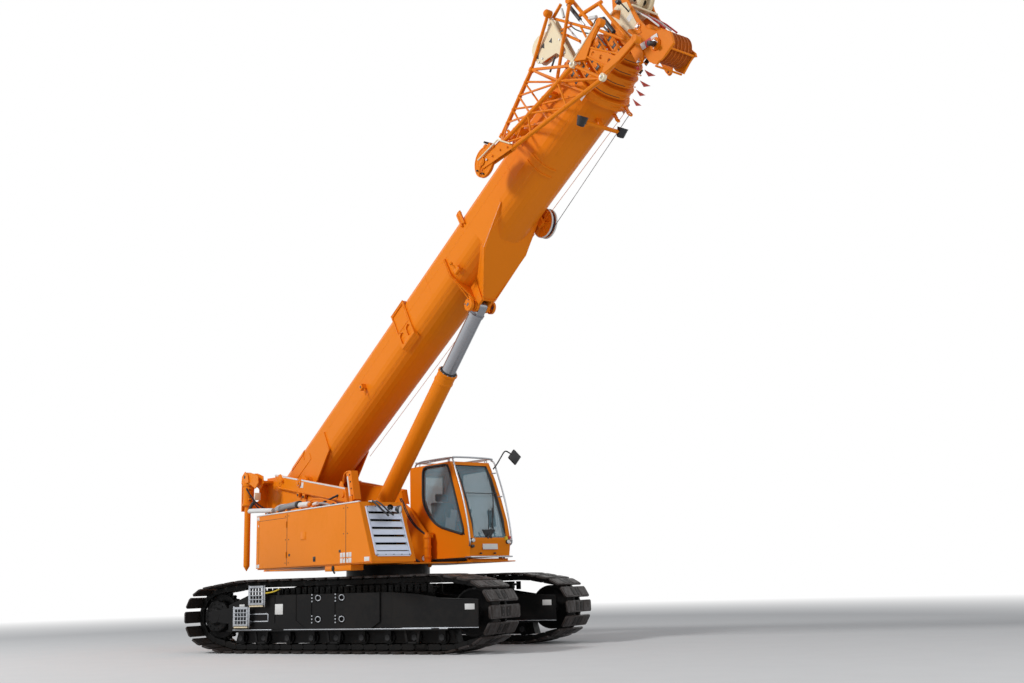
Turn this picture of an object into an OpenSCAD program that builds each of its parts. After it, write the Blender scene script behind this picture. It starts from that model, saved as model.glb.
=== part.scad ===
// Telescopic crawler crane, 100 t class, stowed lattice jib, counterweight off.
// Millimetres, +Z up. The origin is on the ground on the slewing axis, and +X runs
// forward along the tracks. The superstructure stands slewed and the boom raised.

/* [Undercarriage] */
// Distance between the centre lines of the two tracks
track_gauge = 2490; // [2400:10:2700]
// Width of a track shoe
shoe_w = 900; // [700:10:920]
// Overall length of a track
track_len = 5930; // [5700:10:6300]
// Height of a track over its carrier rollers
track_h = 1160; // [1120:5:1200]
// Height of the sprocket and idler axles
axle_z = 585; // [575:5:595]
// Thickness of a shoe plate
shoe_t = 42; // [30:1:50]
// Height of a chain link
link_h = 90; // [80:1:100]
// Width of the chain
link_w = 260; // [220:5:290]
// Spacing of the track shoes
shoe_pitch = 196; // [180:1:220]
// Width of the box of a track frame
frame_w = 500; // [440:10:540]
// Thickness of the panels on the sides of a track frame
panel_t = 25; // [15:1:35]
// Length of the car body between the tracks
carbody_l = 1750; // [1600:10:2000]

/* [Slewing platform] */
// Angle of the superstructure against the tracks, in degrees
slew_rest = -24.06; // [-90:0.01:90]
// Height of the underside of the slewing platform
deck_z = 1333; // [1320:1:1360]
// Thickness of the platform floor
deck_t = 20; // [15:1:30]
// Outer radius of the slewing ring
ring_r = 700; // [660:5:740]
// Overall width of the superstructure
super_w = 3000; // [2900:10:3100]
// Distance of the cheek plates' inner faces from the centre plane
cheek_y = 500; // [490:1:510]
// Thickness of a cheek plate
cheek_t = 50; // [30:1:60]
// Rear end of the cheek plates
cheek_rear = -3680; // [-3800:10:-3600]

/* [Engine housing] */
// Rear end of the engine housing
hood_rear = -1960; // [-2100:10:-1900]
// Length of the engine housing along its floor
hood_l = 4000; // [3800:10:4100]
// Height of the engine housing
hood_h = 905; // [850:5:950]
// Width of the engine housing
hood_w = 760; // [720:5:800]
// Thickness of the housing's panels
hood_t = 25; // [15:1:40]
// Lean of the louvred front, as its run at the top
hood_lean = 385; // [300:5:450]
// Number of louvre slots
louvre_n = 6; // [4:1:8]

/* [Cab] */
// Inner side of the cab
cab_y = 624; // [622:1:660]
// Width of the cab
cab_w = 807; // [780:1:840]
// Height of the cab
cab_h = 1605; // [1560:5:1650]
// Thickness of the cab's walls and pillars
cab_t = 60; // [40:1:70]
// Thickness of the glass
glass_t = 8; // [5:1:12]
// Width of the corner pillars at the windscreen
pillar_w = 70; // [50:5:90]

/* [Boom] */
// Distance of the boom pivot behind the slewing axis
pivot_x = 2086; // [2050:1:2120]
// Height of the boom pivot
pivot_z = 2888; // [2870:1:2900]
// Elevation of the boom at rest, in degrees
luff_rest = 29.85; // [28:0.01:32]
// Outer width of the base section
boom_w = 780; // [770:2:790]
// Outer depth of the base section
boom_d = 835; // [825:1:845]
// Height of the base section's underside above the pivot line
boom_low = -80; // [-90:1:-70]
// Wall of the boom sections
boom_t = 12; // [8:1:16]
// Step in half width and half depth from one section to the next
boom_step = 40; // [36:1:44]
// Number of telescopic sections inside the base section
tele_n = 5; // [5:1:5]
// Front end of the base section, measured from the pivot
base_front = 9350; // [9200:10:9500]
// Rear end of the base section behind the pivot
base_rear = 950; // [900:10:980]
// Spacing of the section collars at the boom head
collar_pitch = 170; // [150:1:190]
// Length of a section collar
collar_l = 120; // [100:1:130]

/* [Lift cylinder] */
// Distance of the rod pin from the pivot along the boom
eye_l = 5430; // [5420:1:5440]
// Height of the rod pin above the pivot line
eye_h = -410; // [-420:1:-400]
// Outer radius of the barrel
barrel_r = 152; // [146:1:160]
// Radius of the piston rod
rod_r = 117; // [105:1:120]
// Length of the barrel from its foot pin to its mouth
barrel_l = 3860; // [3820:1:3900]
// Distance of the foot pin behind the slewing axis
foot_x = 880; // [870:1:890]
// Height of the foot pin
foot_z = 1650; // [1640:1:1660]

/* [Boom head and jib] */
// Radius of the lower head sheaves
sheave_r = 210; // [190:5:220]
// Number of lower head sheaves
sheave_n = 6; // [4:1:7]
// Width over the lower head sheaves
sheave_w = 390; // [350:5:440]
// Radius of a jib chord tube
chord_r = 32; // [25:1:40]
// Radius of a jib lacing tube
lace_r = 16; // [12:1:20]

/* [Hidden] */
$fn = 48;
seat = 0.3;
fit = 0.05;
orange = [0.95, 0.45, 0.05];
black = [0.07, 0.07, 0.08];

// Track loop: the chain's middle line as a list of points
loop_r = axle_z - 95;
pitch_r = loop_r - shoe_t - link_h / 2;
wheel_x = track_len / 2 - loop_r;
chain_low = shoe_t + link_h / 2;
chain_top = track_h - shoe_t - link_h / 2;
top_rear = -1800;
top_front = 2050;
ground_rear = -2130;
ground_front = 2130;
arc_steps = 11;

function ang(v) = atan2(v[1], v[0]);
function dir(a) = [cos(a), sin(a)];
function arrive(p, c, r) = ang(c - p) - asin(r / norm(c - p)) - 90;
function depart(c, q, r) = ang(q - c) + asin(r / norm(q - c)) - 90;
function arc_pts(c, r, a0, a1) = [for (i = [0 : arc_steps]) c + r * dir(a0 + (a1 - a0) * i / arc_steps)];
function turn(a, b) = b < a ? b + 360 : b;
function loop_pts(grow) =
    let (r = pitch_r + grow, zl = chain_low - grow, zt = chain_top + grow,
        ci = [wheel_x, axle_z], cs = [-wheel_x, axle_z],
        p = [ground_front, zl], q = [top_front, zt], u = [top_rear, zt], v = [ground_rear, zl],
        a0 = arrive(p, ci, r), a1 = turn(a0, depart(ci, q, r)),
        a2 = arrive(u, cs, r), a3 = turn(a2, depart(cs, v, r)))
    concat([p], arc_pts(ci, r, a0, a1), [q, u], arc_pts(cs, r, a2, a3), [v]);
function run_sums(p, i = 0, s = 0) = i > len(p) ? [] :
    concat([s], run_sums(p, i + 1, s + norm(p[(i + 1) % len(p)] - p[i % len(p)])));

outer_run = loop_pts(link_h / 2);
outer_sum = run_sums(outer_run);
run_len = outer_sum[len(outer_run)];
shoe_count = round(run_len / shoe_pitch);
shoe_l = run_len / shoe_count - 30;
x_table = [for (i = [0 : len(outer_run)]) [outer_sum[i], outer_run[i % len(outer_run)][0]]];
z_table = [for (i = [0 : len(outer_run)]) [outer_sum[i], outer_run[i % len(outer_run)][1]]];
function on_run(s) = let (t = (s + run_len) % run_len) [lookup(t, x_table), lookup(t, z_table)];

roller_r = 100;
roller_z = shoe_t + link_h + roller_r + seat;
roller_n = 9;
roller_span = 3900;
carrier_r = 70;
carrier_x = 850;
frame_low = 340;
frame_top = 905;
frame_inner = track_gauge / 2 - frame_w / 2;
wheel_r = (pitch_r - link_h / 2) * cos(100 / arc_steps) - seat;
fork_y = 170;

ring_in = ring_r - 80;
ring_split = 1150;
carbody_top = 900;
deck_top = deck_z + deck_t;
beam_t = 70;
well_y = 185;

hood_front = hood_rear + hood_l;
hood_y = -super_w / 2;
louvre_low = 90;
louvre_up = 70;

cab_low = deck_top + 65;
cab_rear = -280;
cab_front = 1500;
door_y = cab_y + cab_w;

pivot = [-pivot_x, pivot_z];
eye = [eye_l, eye_h];
function to_super(p) = pivot + [p[0] * cos(luff_rest) - p[1] * sin(luff_rest),
    p[0] * sin(luff_rest) + p[1] * cos(luff_rest)];
eye_super = to_super(eye);
foot = [-foot_x, foot_z];
lift_len = norm(eye_super - foot);
lift_ang = ang(eye_super - foot);
rod_pin_r = 50;
lug_gap = 75;
lug_t = 45;
lug_r = 98;
boom_pin_r = 65;
boss_r = 125;
plate_t = 18;
boom_mid = boom_low + boom_d / 2;
pad_gap = seat;

// Places on the superstructure, on the boom and along the lift cylinder
module on_slew() { rotate([0, 0, slew_rest]) children(); }
module on_boom() { on_slew() translate([-pivot_x, 0, pivot_z]) rotate([0, -luff_rest, 0]) children(); }
module on_lift() { on_slew() translate([foot[0], 0, foot[1]]) rotate([0, -lift_ang, 0]) children(); }
module both_sides() { children(); mirror([0, 1, 0]) children(); }

// A profile drawn in X and Z, spanning y0 to y1
module side_plate(pts, y0, y1) {
    translate([0, y1, 0]) rotate([90, 0, 0]) linear_extrude(y1 - y0) polygon(pts);
}
// A round bar along Y at x, z
module bar_y(x, z, r, y0, y1) {
    translate([x, y1, z]) rotate([90, 0, 0]) cylinder(r = r, h = y1 - y0);
}
// A box between two corners
module box(a, b) { translate(a) cube(b - a); }
// A round tube from a to b
module tube(a, b, r, sides = 8) {
    d = b - a;
    translate(a) rotate([0, acos(d[2] / norm(d)), atan2(d[1], d[0])])
        cylinder(r = r, h = norm(d), $fn = sides);
}
// Points of a convex outline moved inwards by d
function cross2(a, b) = a[0] * b[1] - a[1] * b[0];
function unit(v) = v / norm(v);
function meet(p, u, q, v) = p + u * (cross2(q - p, v) / cross2(u, v));
function inset(p, d) = [for (i = [0 : len(p) - 1])
    let (n = len(p), a = p[(i + n - 1) % n], b = p[i], c = p[(i + 1) % n])
    let (u = unit(b - a), v = unit(c - b))
    meet(b + d * [-u[1], u[0]], u, b + d * [-v[1], v[0]], v)];

// Undercarriage
module car_body() color(black) {
    box([-carbody_l / 2 + 120, -820, 470], [carbody_l / 2 - 120, 820, carbody_top - 40]);
    for (s = [-1, 1]) translate([s * (carbody_l / 2 - 190), 0, 0])
        box([-190, panel_t - frame_inner, 500], [190, frame_inner - panel_t, 830]);
    translate([0, 0, carbody_top - 40]) cylinder(r = ring_r + 60, h = 40, $fn = 96);
}

module slew_ring_lower() color(black)
    translate([0, 0, carbody_top]) difference() {
        cylinder(r = ring_r, h = ring_split - carbody_top, $fn = 96);
        translate([0, 0, -1]) cylinder(r = ring_in, h = ring_split, $fn = 96);
    }

frame_side = [[-2150, frame_low], [2130, frame_low], [2200, 420], [2200, 700], [1500, 770],
    [1150, frame_top], [-1750, frame_top], [-2150, 760]];
frame_panel = [[-980, frame_low + 20], [720, frame_low + 20], [900, 470], [900, frame_top],
    [-1160, frame_top], [-1160, 470]];

module track_frame() {
    difference() {
        side_plate(frame_side, -frame_w / 2, frame_w / 2);
        box([1900, -fork_y, 0], [2300, fork_y, 1000]);
        box([-2300, -fork_y, 0], [-1900, fork_y, 1000]);
    }
    for (s = [-1, 1]) scale([1, s, 1]) {
        side_plate([[2150, 480], [wheel_x + 110, 510], [wheel_x + 110, 660], [2150, 690]],
            fork_y, frame_w / 2);
        side_plate([[-2100, 460], [-2100, 720], [-wheel_x - 90, 660], [-wheel_x - 90, 510]],
            fork_y, frame_w / 2);
        side_plate(frame_panel, frame_w / 2 - 1, frame_w / 2 + panel_t);
        box([-2150, frame_w / 2 - 1, frame_low], [2130, frame_w / 2 + panel_t + 20, frame_low + 20]);
    }
    for (i = [0 : roller_n - 1]) translate([-roller_span / 2 + i * roller_span / (roller_n - 1), 0, 0]) {
        bar_y(0, roller_z, roller_r, -130, 130);
        bar_y(0, roller_z, 40, -170, 170);
        for (s = [-1, 1]) box([-60, s * 155 - 15, roller_z - 60], [60, s * 155 + 15, frame_low + 1]);
    }
    for (s = [-1, 1]) translate([s * carrier_x, 0, 0]) {
        bar_y(0, chain_top - link_h / 2 - carrier_r - seat, carrier_r, -120, 120);
        box([-40, -60, frame_top - 1], [40, 60, frame_top + 60]);
    }
}

module track_frame_right() color(black) translate([0, -track_gauge / 2, 0]) track_frame();
module track_frame_left() color(black) translate([0, track_gauge / 2, 0]) track_frame();

module track_loop() {
    rotate([90, 0, 0]) linear_extrude(link_w, center = true) difference() {
        polygon(loop_pts(link_h / 2));
        polygon(loop_pts(-link_h / 2));
    }
    rotate([90, 0, 0]) linear_extrude(shoe_w, center = true)
        for (i = [0 : shoe_count - 1]) {
            s = (i + 0.5) * run_len / shoe_count;
            a = on_run(s - shoe_l / 2);
            b = on_run(s + shoe_l / 2);
            translate((a + b) / 2) rotate(ang(b - a)) translate([-shoe_l / 2, -shoe_t])
                square([shoe_l, shoe_t + 4]);
        }
}

module track_right() color(black) translate([0, -track_gauge / 2, 0]) track_loop();
module track_left() color(black) translate([0, track_gauge / 2, 0]) track_loop();

module sprockets() color(black) for (s = [-1, 1]) translate([0, s * track_gauge / 2, 0]) {
    bar_y(-wheel_x, axle_z, wheel_r, -60, 60);
    bar_y(-wheel_x, axle_z, 230, -fork_y, fork_y);
}

module idlers() color(black) for (s = [-1, 1]) translate([0, s * track_gauge / 2, 0]) {
    bar_y(wheel_x, axle_z, wheel_r, -100, 100);
    bar_y(wheel_x, axle_z, 90, -fork_y, fork_y);
}

// Rows of x and z of the two folded steps on the right track frame
steps = [[-1640, 760], [-1960, 430]];
module access_steps() color("silver") for (row = steps)
    translate([row[0], -track_gauge / 2 - frame_w / 2 - panel_t - 70, row[1]]) {
        difference() {
            cube([300, 45, 300]);
            for (i = [0 : 3], j = [0 : 3]) translate([30 + i * 62, -1, 30 + j * 62]) cube([50, 47, 50]);
        }
        for (x = [20, 250]) translate([x, 44, 20]) cube([30, 51, 60]);
    }

// Slewing platform
module slew_ring_upper() color(black) on_slew()
    translate([0, 0, ring_split + seat]) difference() {
        cylinder(r = ring_r, h = deck_z - ring_split - seat, $fn = 96);
        translate([0, 0, -1]) cylinder(r = ring_in, h = deck_z, $fn = 96);
    }

deck_plan = [[cheek_rear, -560], [hood_rear + 20, -560], [hood_rear + 20, hood_y + 20],
    [hood_front - 20, hood_y + 20], [hood_front - 20, -760], [1200, -560], [1200, 640],
    [cab_front + 20, 640], [cab_front + 20, door_y - 10], [cab_rear - 90, door_y - 10],
    [cab_rear - 90, 640], [-960, 640], [-960, 1400], [-3000, 1400], [-3000, 560], [cheek_rear, 560]];
module deck() color(orange) on_slew() {
    difference() {
        translate([0, 0, deck_z]) linear_extrude(deck_t) polygon(deck_plan);
        box([-foot_x - 200, -well_y, deck_z - 1], [700, well_y, deck_top + 1]);
    }
    for (s = [-1, 1]) scale([1, s, 1]) difference() {
        side_plate([[-foot_x - 280, deck_top - 1], [-foot_x + 280, deck_top - 1],
            [-foot_x + 110, foot_z + 120], [-foot_x - 110, foot_z + 120]], well_y + 5, well_y + 50);
        bar_y(-foot_x, foot_z, 60, well_y, well_y + 60);
    }
}

cheek_side = [[cheek_rear, deck_top], [450, deck_top], [450, 1800], [-120, 2300], [-300, 2395], [-379, 2640],
    [-3120, 3090], [-3600, 3100], [cheek_rear, 2500]];
beam_side = [[-3120, 3131], [-3068, 2874], [-300, 2395], [-379, 2657]];
cheek_gap = [[-1900, 2540], [-1900, 1850], [-700, 1850], [-700, 2350]];
module cheeks() color(orange) on_slew() {
    both_sides() difference() {
        union() {
            side_plate(cheek_side, cheek_y, cheek_y + cheek_t);
            side_plate(beam_side, cheek_y + cheek_t - 1, cheek_y + cheek_t + beam_t);
            bar_y(-pivot_x, pivot_z, boss_r, cheek_y, cheek_y + cheek_t);
        }
        bar_y(-pivot_x, pivot_z, boom_pin_r + fit, cheek_y - 1, cheek_y + cheek_t + beam_t + 1);
        side_plate(cheek_gap, cheek_y - 1, cheek_y + cheek_t + 1);
        bar_y(drum_x, drum_z, 60, cheek_y - 1, cheek_y + cheek_t + 1);
    }
    box([cheek_rear, -cheek_y, deck_top], [cheek_rear + 30, cheek_y, 2100]);
}

module boom_pins() color("gray") on_slew() both_sides()
    bar_y(-pivot_x, pivot_z, boom_pin_r, half_w(0) + 6, cheek_y + cheek_t + beam_t);

post_x = -3480;
post_y = 1000;
module ballast_brackets() color(orange) on_slew() both_sides() {
    difference() {
        box([-3640, -post_y - 60, 2460], [-3600, -cheek_y - cheek_t, 3060]);
        translate([-3641, -760, 2790]) rotate([0, 90, 0]) linear_extrude(42) {
            translate([80, 0]) circle(60);
            translate([-80, 0]) circle(60);
            translate([-80, -60]) square([160, 120]);
        }
    }
    box([-3601, -post_y - 60, 2990], [-3330, -cheek_y - cheek_t, 3030]);
    side_plate([[-3640, 3029], [-3330, 3029], [-3380, 3120], [-3480, 3190], [-3600, 3120]],
        -post_y - 60, -post_y + 60);
    translate([post_x, -post_y, post_mouth]) difference() {
        cylinder(r = 88, h = 2991 - post_mouth);
        translate([0, 0, -1]) cylinder(r = post_r + fit, h = 2960 - post_mouth);
    }
}

post_r = 58;
post_mouth = 2555;
module ballast_rod() {
    translate([0, 0, 1345]) cylinder(r1 = 5, r2 = post_r, h = 90);
    translate([0, 0, 1435]) cylinder(r = post_r, h = 2610 - 1435);
}
module ballast_rod_right() color(orange) on_slew() translate([post_x, -post_y, 0]) ballast_rod();
module ballast_rod_left() color(orange) on_slew() translate([post_x, post_y, 0]) ballast_rod();

drum_x = -3360;
drum_z = 1860;
module hoist_drum() color("dimgray") on_slew() {
    bar_y(drum_x, drum_z, 210, -380, 380);
    for (s = [-1, 1]) scale([1, s, 1]) bar_y(drum_x, drum_z, 270, 360, 400);
    bar_y(drum_x, drum_z, 60 - fit, -cheek_y - cheek_t, cheek_y + cheek_t);
}

// Engine housing
hood_side = [[hood_rear, deck_top], [hood_front, deck_top], [hood_front - hood_lean, deck_top + hood_h],
    [hood_rear, deck_top + hood_h]];
function hood_face(z) = hood_front - hood_lean * (z - deck_top) / hood_h;
louvre_side = [[hood_face(deck_top + louvre_low) - hood_t, deck_top + louvre_low],
    [hood_face(deck_top + louvre_low), deck_top + louvre_low],
    [hood_face(deck_top + hood_h - louvre_up), deck_top + hood_h - louvre_up],
    [hood_face(deck_top + hood_h - louvre_up) - hood_t, deck_top + hood_h - louvre_up]];
module engine_hood() color(orange) on_slew() difference() {
    side_plate(hood_side, hood_y, hood_y + hood_w);
    side_plate(inset(hood_side, hood_t), hood_y + hood_t, hood_y + hood_w - hood_t);
    side_plate([louvre_side[0] - [50, 0], louvre_side[1] + [50, 0], louvre_side[2] + [50, 0],
        louvre_side[3] - [50, 0]], hood_y + 90, hood_y + hood_w - 60);
}

module louvre_panel() color("silver") on_slew() {
    slot_h = (hood_h - louvre_low - louvre_up) / (louvre_n + 0.3);
    difference() {
        side_plate(louvre_side, hood_y + 90, hood_y + hood_w - 60);
        for (i = [0 : louvre_n - 1])
            translate([0, 0, deck_top + louvre_low + slot_h * (i + 0.35)])
                box([hood_front - hood_lean - 100, hood_y + 130, 0],
                    [hood_front + 50, hood_y + hood_w - 100, slot_h * 0.55]);
    }
}

module engine() color("dimgray") on_slew()
    box([-1100, hood_y + 90, deck_top + hood_t], [300, hood_y + hood_w - 90, deck_top + 750]);

module tank_housing() color(orange) on_slew()
    box([-2990, 640, deck_top], [-960, 1400, deck_top + 880]);

module hose_box() color(orange) on_slew() {
    translate([40, hood_y + hood_w - 20, 2380]) rotate([0, -14, 0]) cube([160, 130, 500]);
    box([60, hood_y + hood_w - 40, deck_top + hood_h], [150, hood_y + hood_w - 15, 2480]);
}

// Cab
cab_side = [[cab_rear, cab_low], [cab_front, cab_low], [cab_front + 45, cab_low + 270],
    [cab_front - 30, cab_low + 580], [cab_front - 170, cab_low + 930], [cab_front - 340, cab_low + 1300],
    [cab_front - 520, cab_low + cab_h], [cab_rear + 40, cab_low + cab_h], [cab_rear, cab_low + cab_h - 60]];
side_window = [[130, cab_low + 1018], [225, cab_low + 840], [430, cab_low + 640], [653, cab_low + 527],
    [1388, cab_low + 358], [925, cab_low + cab_h - 45], [145, cab_low + cab_h - 30]];
door_side = [[60, cab_low + 40], [1380, cab_low + 40], [1400, cab_low + 330], [1290, cab_low + 760],
    [1100, cab_low + 1180], [930, cab_low + cab_h - 50], [60, cab_low + cab_h - 40]];
door_window = inset(door_side, 75);

module windscreen_cut() {
    side_plate([[cab_front - 300, cab_low + 310], [cab_front + 200, cab_low + 310],
        [cab_front + 200, cab_low + cab_h - 60], [cab_front - 800, cab_low + cab_h - 60]],
        cab_y + pillar_w, door_y - pillar_w);
}

module cab_shell() color(orange) on_slew() {
    difference() {
        side_plate(cab_side, cab_y, door_y);
        side_plate(inset(cab_side, cab_t), cab_y + cab_t, door_y - cab_t);
        side_plate(side_window, cab_y - 1, cab_y + cab_t + 1);
        windscreen_cut();
        side_plate(door_side, door_y - cab_t - 1, door_y + 1);
        box([cab_rear - 1, cab_y + 110, cab_low + 700],
            [cab_rear + cab_t + 1, door_y - 110, cab_low + cab_h - 130]);
    }
    for (y = [cab_y + 90, door_y - 130]) difference() {
        side_plate([[cab_rear - 70, cab_low - 5], [cab_rear + 1, cab_low - 5], [cab_rear + 1, cab_low + 120],
            [cab_rear - 70, cab_low + 60]], y, y + 40);
        bar_y(cab_rear - 35, cab_low + 28, 20, y - 1, y + 41);
    }
}

module cab_glass() color([0.3, 0.4, 0.45, 0.4]) on_slew() {
    intersection() {
        difference() {
            side_plate(inset(cab_side, 20), cab_y + pillar_w, door_y - pillar_w);
            side_plate(inset(cab_side, 20 + glass_t), cab_y, door_y);
        }
        windscreen_cut();
    }
    side_plate(side_window, cab_y + 20, cab_y + 20 + glass_t);
    box([cab_rear + 20, cab_y + 110, cab_low + 700],
        [cab_rear + 20 + glass_t, door_y - 110, cab_low + cab_h - 130]);
}

module cab_seat() color("dimgray") on_slew() {
    box([250, cab_y + 250, cab_low + cab_t], [650, cab_y + 550, cab_low + 330]);
    box([200, cab_y + 170, cab_low + 330], [720, cab_y + 640, cab_low + 460]);
    side_plate([[150, cab_low + 400], [260, cab_low + 400], [160, cab_low + 1120], [50, cab_low + 1120]],
        cab_y + 180, cab_y + 630);
}

module cab_rails() color("silver") on_slew() {
    for (y = [cab_y + 25, door_y - 25]) {
        tube([0, y, cab_low + cab_h], [0, y, cab_low + cab_h + 50], 12);
        tube([cab_front - 600, y, cab_low + cab_h], [cab_front - 600, y, cab_low + cab_h + 50], 12);
        tube([-30, y, cab_low + cab_h + 50], [cab_front - 570, y, cab_low + cab_h + 50], 12);
    }
}

module cab_base() color(orange) on_slew() {
    box([cab_rear, cab_y + 20, deck_top], [cab_front - 10, door_y - 20, deck_top + 40]);
    for (x = [100, cab_front - 120], y = [cab_y + 90, door_y - 90]) translate([x, y, deck_top + 39])
        cylinder(r = 35, h = cab_low - deck_top - 39 - seat);
    for (y = [cab_y + 45, door_y - 175]) {
        side_plate([[cab_rear - 85, deck_top], [cab_rear - 5, deck_top], [cab_rear - 5, cab_low + 20],
            [cab_rear - 22, cab_low + 62], [cab_rear - 85, cab_low + 62]], y, y + 40);
        box([cab_rear - 85, y, deck_top], [cab_rear + 1, y + 40, deck_top + 40]);
    }
    bar_y(cab_rear - 35, cab_low + 28, 20 - fit, cab_y + 45, door_y - 85);
}

module cab_door() color(orange) on_slew() translate([0, seat, 0]) difference() {
    side_plate(inset(door_side, -25), door_y, door_y + 30);
    side_plate(door_window, door_y - 1, door_y + 31);
}

module door_glass() color([0.3, 0.4, 0.45, 0.4]) on_slew()
    side_plate(door_window, door_y + 15, door_y + 15 + glass_t);

// Boom sections: half width, half depth and corner radii of section i
function half_w(i) = boom_w / 2 - i * boom_step;
function half_d(i) = boom_d / 2 - i * boom_step;
function corner(c, r, a0, n) = [for (k = [0 : n]) c + r * dir(a0 + 90 * k / n)];
function section(i, grow) =
    let (w = half_w(i) + grow, d = half_d(i) + grow, top = 120 - i * 12 + grow, low = 300 - i * 34 + grow)
    concat(corner([-w + low, -d + low], low, 180, 6), corner([w - low, -d + low], low, 270, 6),
        corner([w - top, d - top], top, 0, 2), corner([-w + top, d - top], top, 90, 2));

module section_run(l0, l1) {
    translate([l0, 0, boom_mid]) rotate([90, 0, 90]) linear_extrude(l1 - l0) children();
}
module tube_section(i, l0, l1) {
    section_run(l0, l1) difference() {
        polygon(section(i, 0));
        polygon(section(i, -boom_t));
    }
}
// Collar of section i, whose mouth guides section i + 1
module collar(i, l1) {
    section_run(l1 - collar_l, l1) difference() {
        polygon(section(i, 45 - i * 2));
        polygon(section(i + 1, pad_gap));
    }
}

// Bearing box of the rod pin under the base section: its sloping cover runs from the sides of the boom
// at the front to a narrow tip over the pin
cover_front = [eye_l + 1641, 160];
cover_tip = [eye_l + 201, eye_h - 80];
cover_wide = half_w(0);
cover_run = norm(cover_front - cover_tip);
cover_bend = 745;
cover_u = unit(cover_front - cover_tip);
function on_cover(d) = cover_front - d * cover_u + 8 * [-cover_u[1], cover_u[0]];
tip_y = 100;
rib_l = eye_l + 60;
rib_half = [[-half_w(0) - 32, 460], [-half_w(0) - 32, 90], [-half_w(0) + 60, -60],
    [-lug_gap - lug_t, eye_h + 40], [-lug_gap - 4, eye_h + 40], [-lug_gap - 4, eye_h + lug_r + 30]];
module pin_box() {
    slope = ang(cover_front - cover_tip);
    translate([cover_front[0], 0, cover_front[1]]) rotate([0, -slope, 0]) linear_extrude(22)
        polygon([[0, -cover_wide], [-cover_bend, -cover_wide], [-cover_run, -tip_y], [-cover_run, tip_y],
            [-cover_bend, cover_wide], [0, cover_wide]]);
    bend = on_cover(cover_bend);
    web = [on_cover(cover_run - 12), on_cover(15), [cover_front[0] - 15, 230], [rib_l, 230],
        [rib_l, cover_tip[1] + 20]];
    both_sides() {
        side_plate([on_cover(cover_bend - 14), on_cover(15), [cover_front[0] - 15, 240],
            [bend[0] - 60, 240]],
            cover_wide - 20, cover_wide + 1);
        intersection() {
            side_plate(web, 0, cover_wide + 1);
            linear_extrude(2000, center = true) polygon([[bend[0] + 20, cover_wide - 4],
                [cover_tip[0] + 20, tip_y - 4], [cover_tip[0] + 20, tip_y - 26],
                [bend[0] + 20, cover_wide - 26]]);
        }
        side_plate([[eye_l - 75, eye_h + 60], [eye_l, -40], [cover_tip[0] + 60, -40],
            cover_tip + [12, 12], [eye_l + 70, eye_h - 70]], lug_gap, lug_gap + lug_t);
        bar_y(eye_l, eye_h, lug_r, lug_gap, lug_gap + lug_t);
        bar_y(eye_l, eye_h, lug_r - 18, lug_gap + lug_t, lug_gap + lug_t + 22);
    }
    translate([rib_l, 0, 0]) rotate([90, 0, 90]) linear_extrude(25)
        polygon(concat(rib_half, [for (k = [5 : -1 : 0]) [-rib_half[k][0], rib_half[k][1]]]));
    bar_y(eye_l, eye_h, rod_pin_r, -lug_gap - lug_t - 30, lug_gap + lug_t + 30);
}
module boom_base() color(orange) on_boom() difference() {
    union() {
        tube_section(0, -base_rear, base_front - collar_l + 5);
        collar(0, base_front);
        both_sides() {
            side_plate([[-250, -120], [250, -120], [900, 100], [900, 500], [-base_rear + 20, 500],
                [-base_rear + 20, 100]], half_w(0) - 2, half_w(0) + 22);
            bar_y(0, 0, boss_r, half_w(0) - 30, cheek_y - 12);
        }
        pin_box();
    }
    both_sides() bar_y(0, 0, boom_pin_r + fit, half_w(0) - 40, cheek_y + 1);
    section_run(-base_rear - 1, base_front - collar_l) polygon(section(0, -boom_t));
}

// Telescopic section i with its collar and its rear guide ring
module tele(i) {
    l0 = -base_rear + 80 + 60 * i;
    l1 = base_front + collar_pitch * i;
    on_boom() {
        tube_section(i, l0, l1 - collar_l + 5);
        if (i < tele_n) collar(i, l1);
        section_run(l0, l0 + 60) difference() {
            polygon(section(i - 1, -boom_t - pad_gap));
            polygon(section(i, -boom_t));
        }
    }
}
module tele_1() color(orange) tele(1);
module tele_2() color(orange) tele(2);
module tele_3() color(orange) tele(3);
module tele_4() color(orange) tele(4);
module tele_5() color(orange) tele(5);

head_l = base_front + collar_pitch * tele_n - collar_l + 5;
sheave_at = [head_l + 405, -400];
top_at = [head_l + 365, 740];
head_y = 235;
head_pin = [head_l + 330, 80];
head_pin_r = 25;
function on_head(pts) = [for (p = pts) p + [head_l, 0]];
// Outline of a head plate: it ends behind the lower sheaves, and carries the upper ones
head_side = on_head([[0, 120], [0, 560], [135, 690], [230, 860], [400, 900], [470, 780], [410, 560],
    [395, 180], [420, -60], [500, -230], [525, -400], [558, -585], [540, -640], [500, -600], [432, -602],
    [253, -641], [191, -509], [170, -180]]);
// Outline of the larger plate in front of it on the right side
near_side = on_head([[420, -60], [501, -240], [586, -312], [670, -490], [619, -655], [428, -662],
    [339, -652], [215, -570], [195, -300], [300, -200]]);
// Outlines of the lugs that hang under the head and of the guard over the lower sheaves
lug_low = on_head([[60, -40], [40, -330], [50, -400], [110, -418], [200, -330], [215, -150]]);
cap_side = on_head([[130, -110], [330, 30], [470, -40], [450, -100], [330, -60], [160, -170]]);
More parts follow.
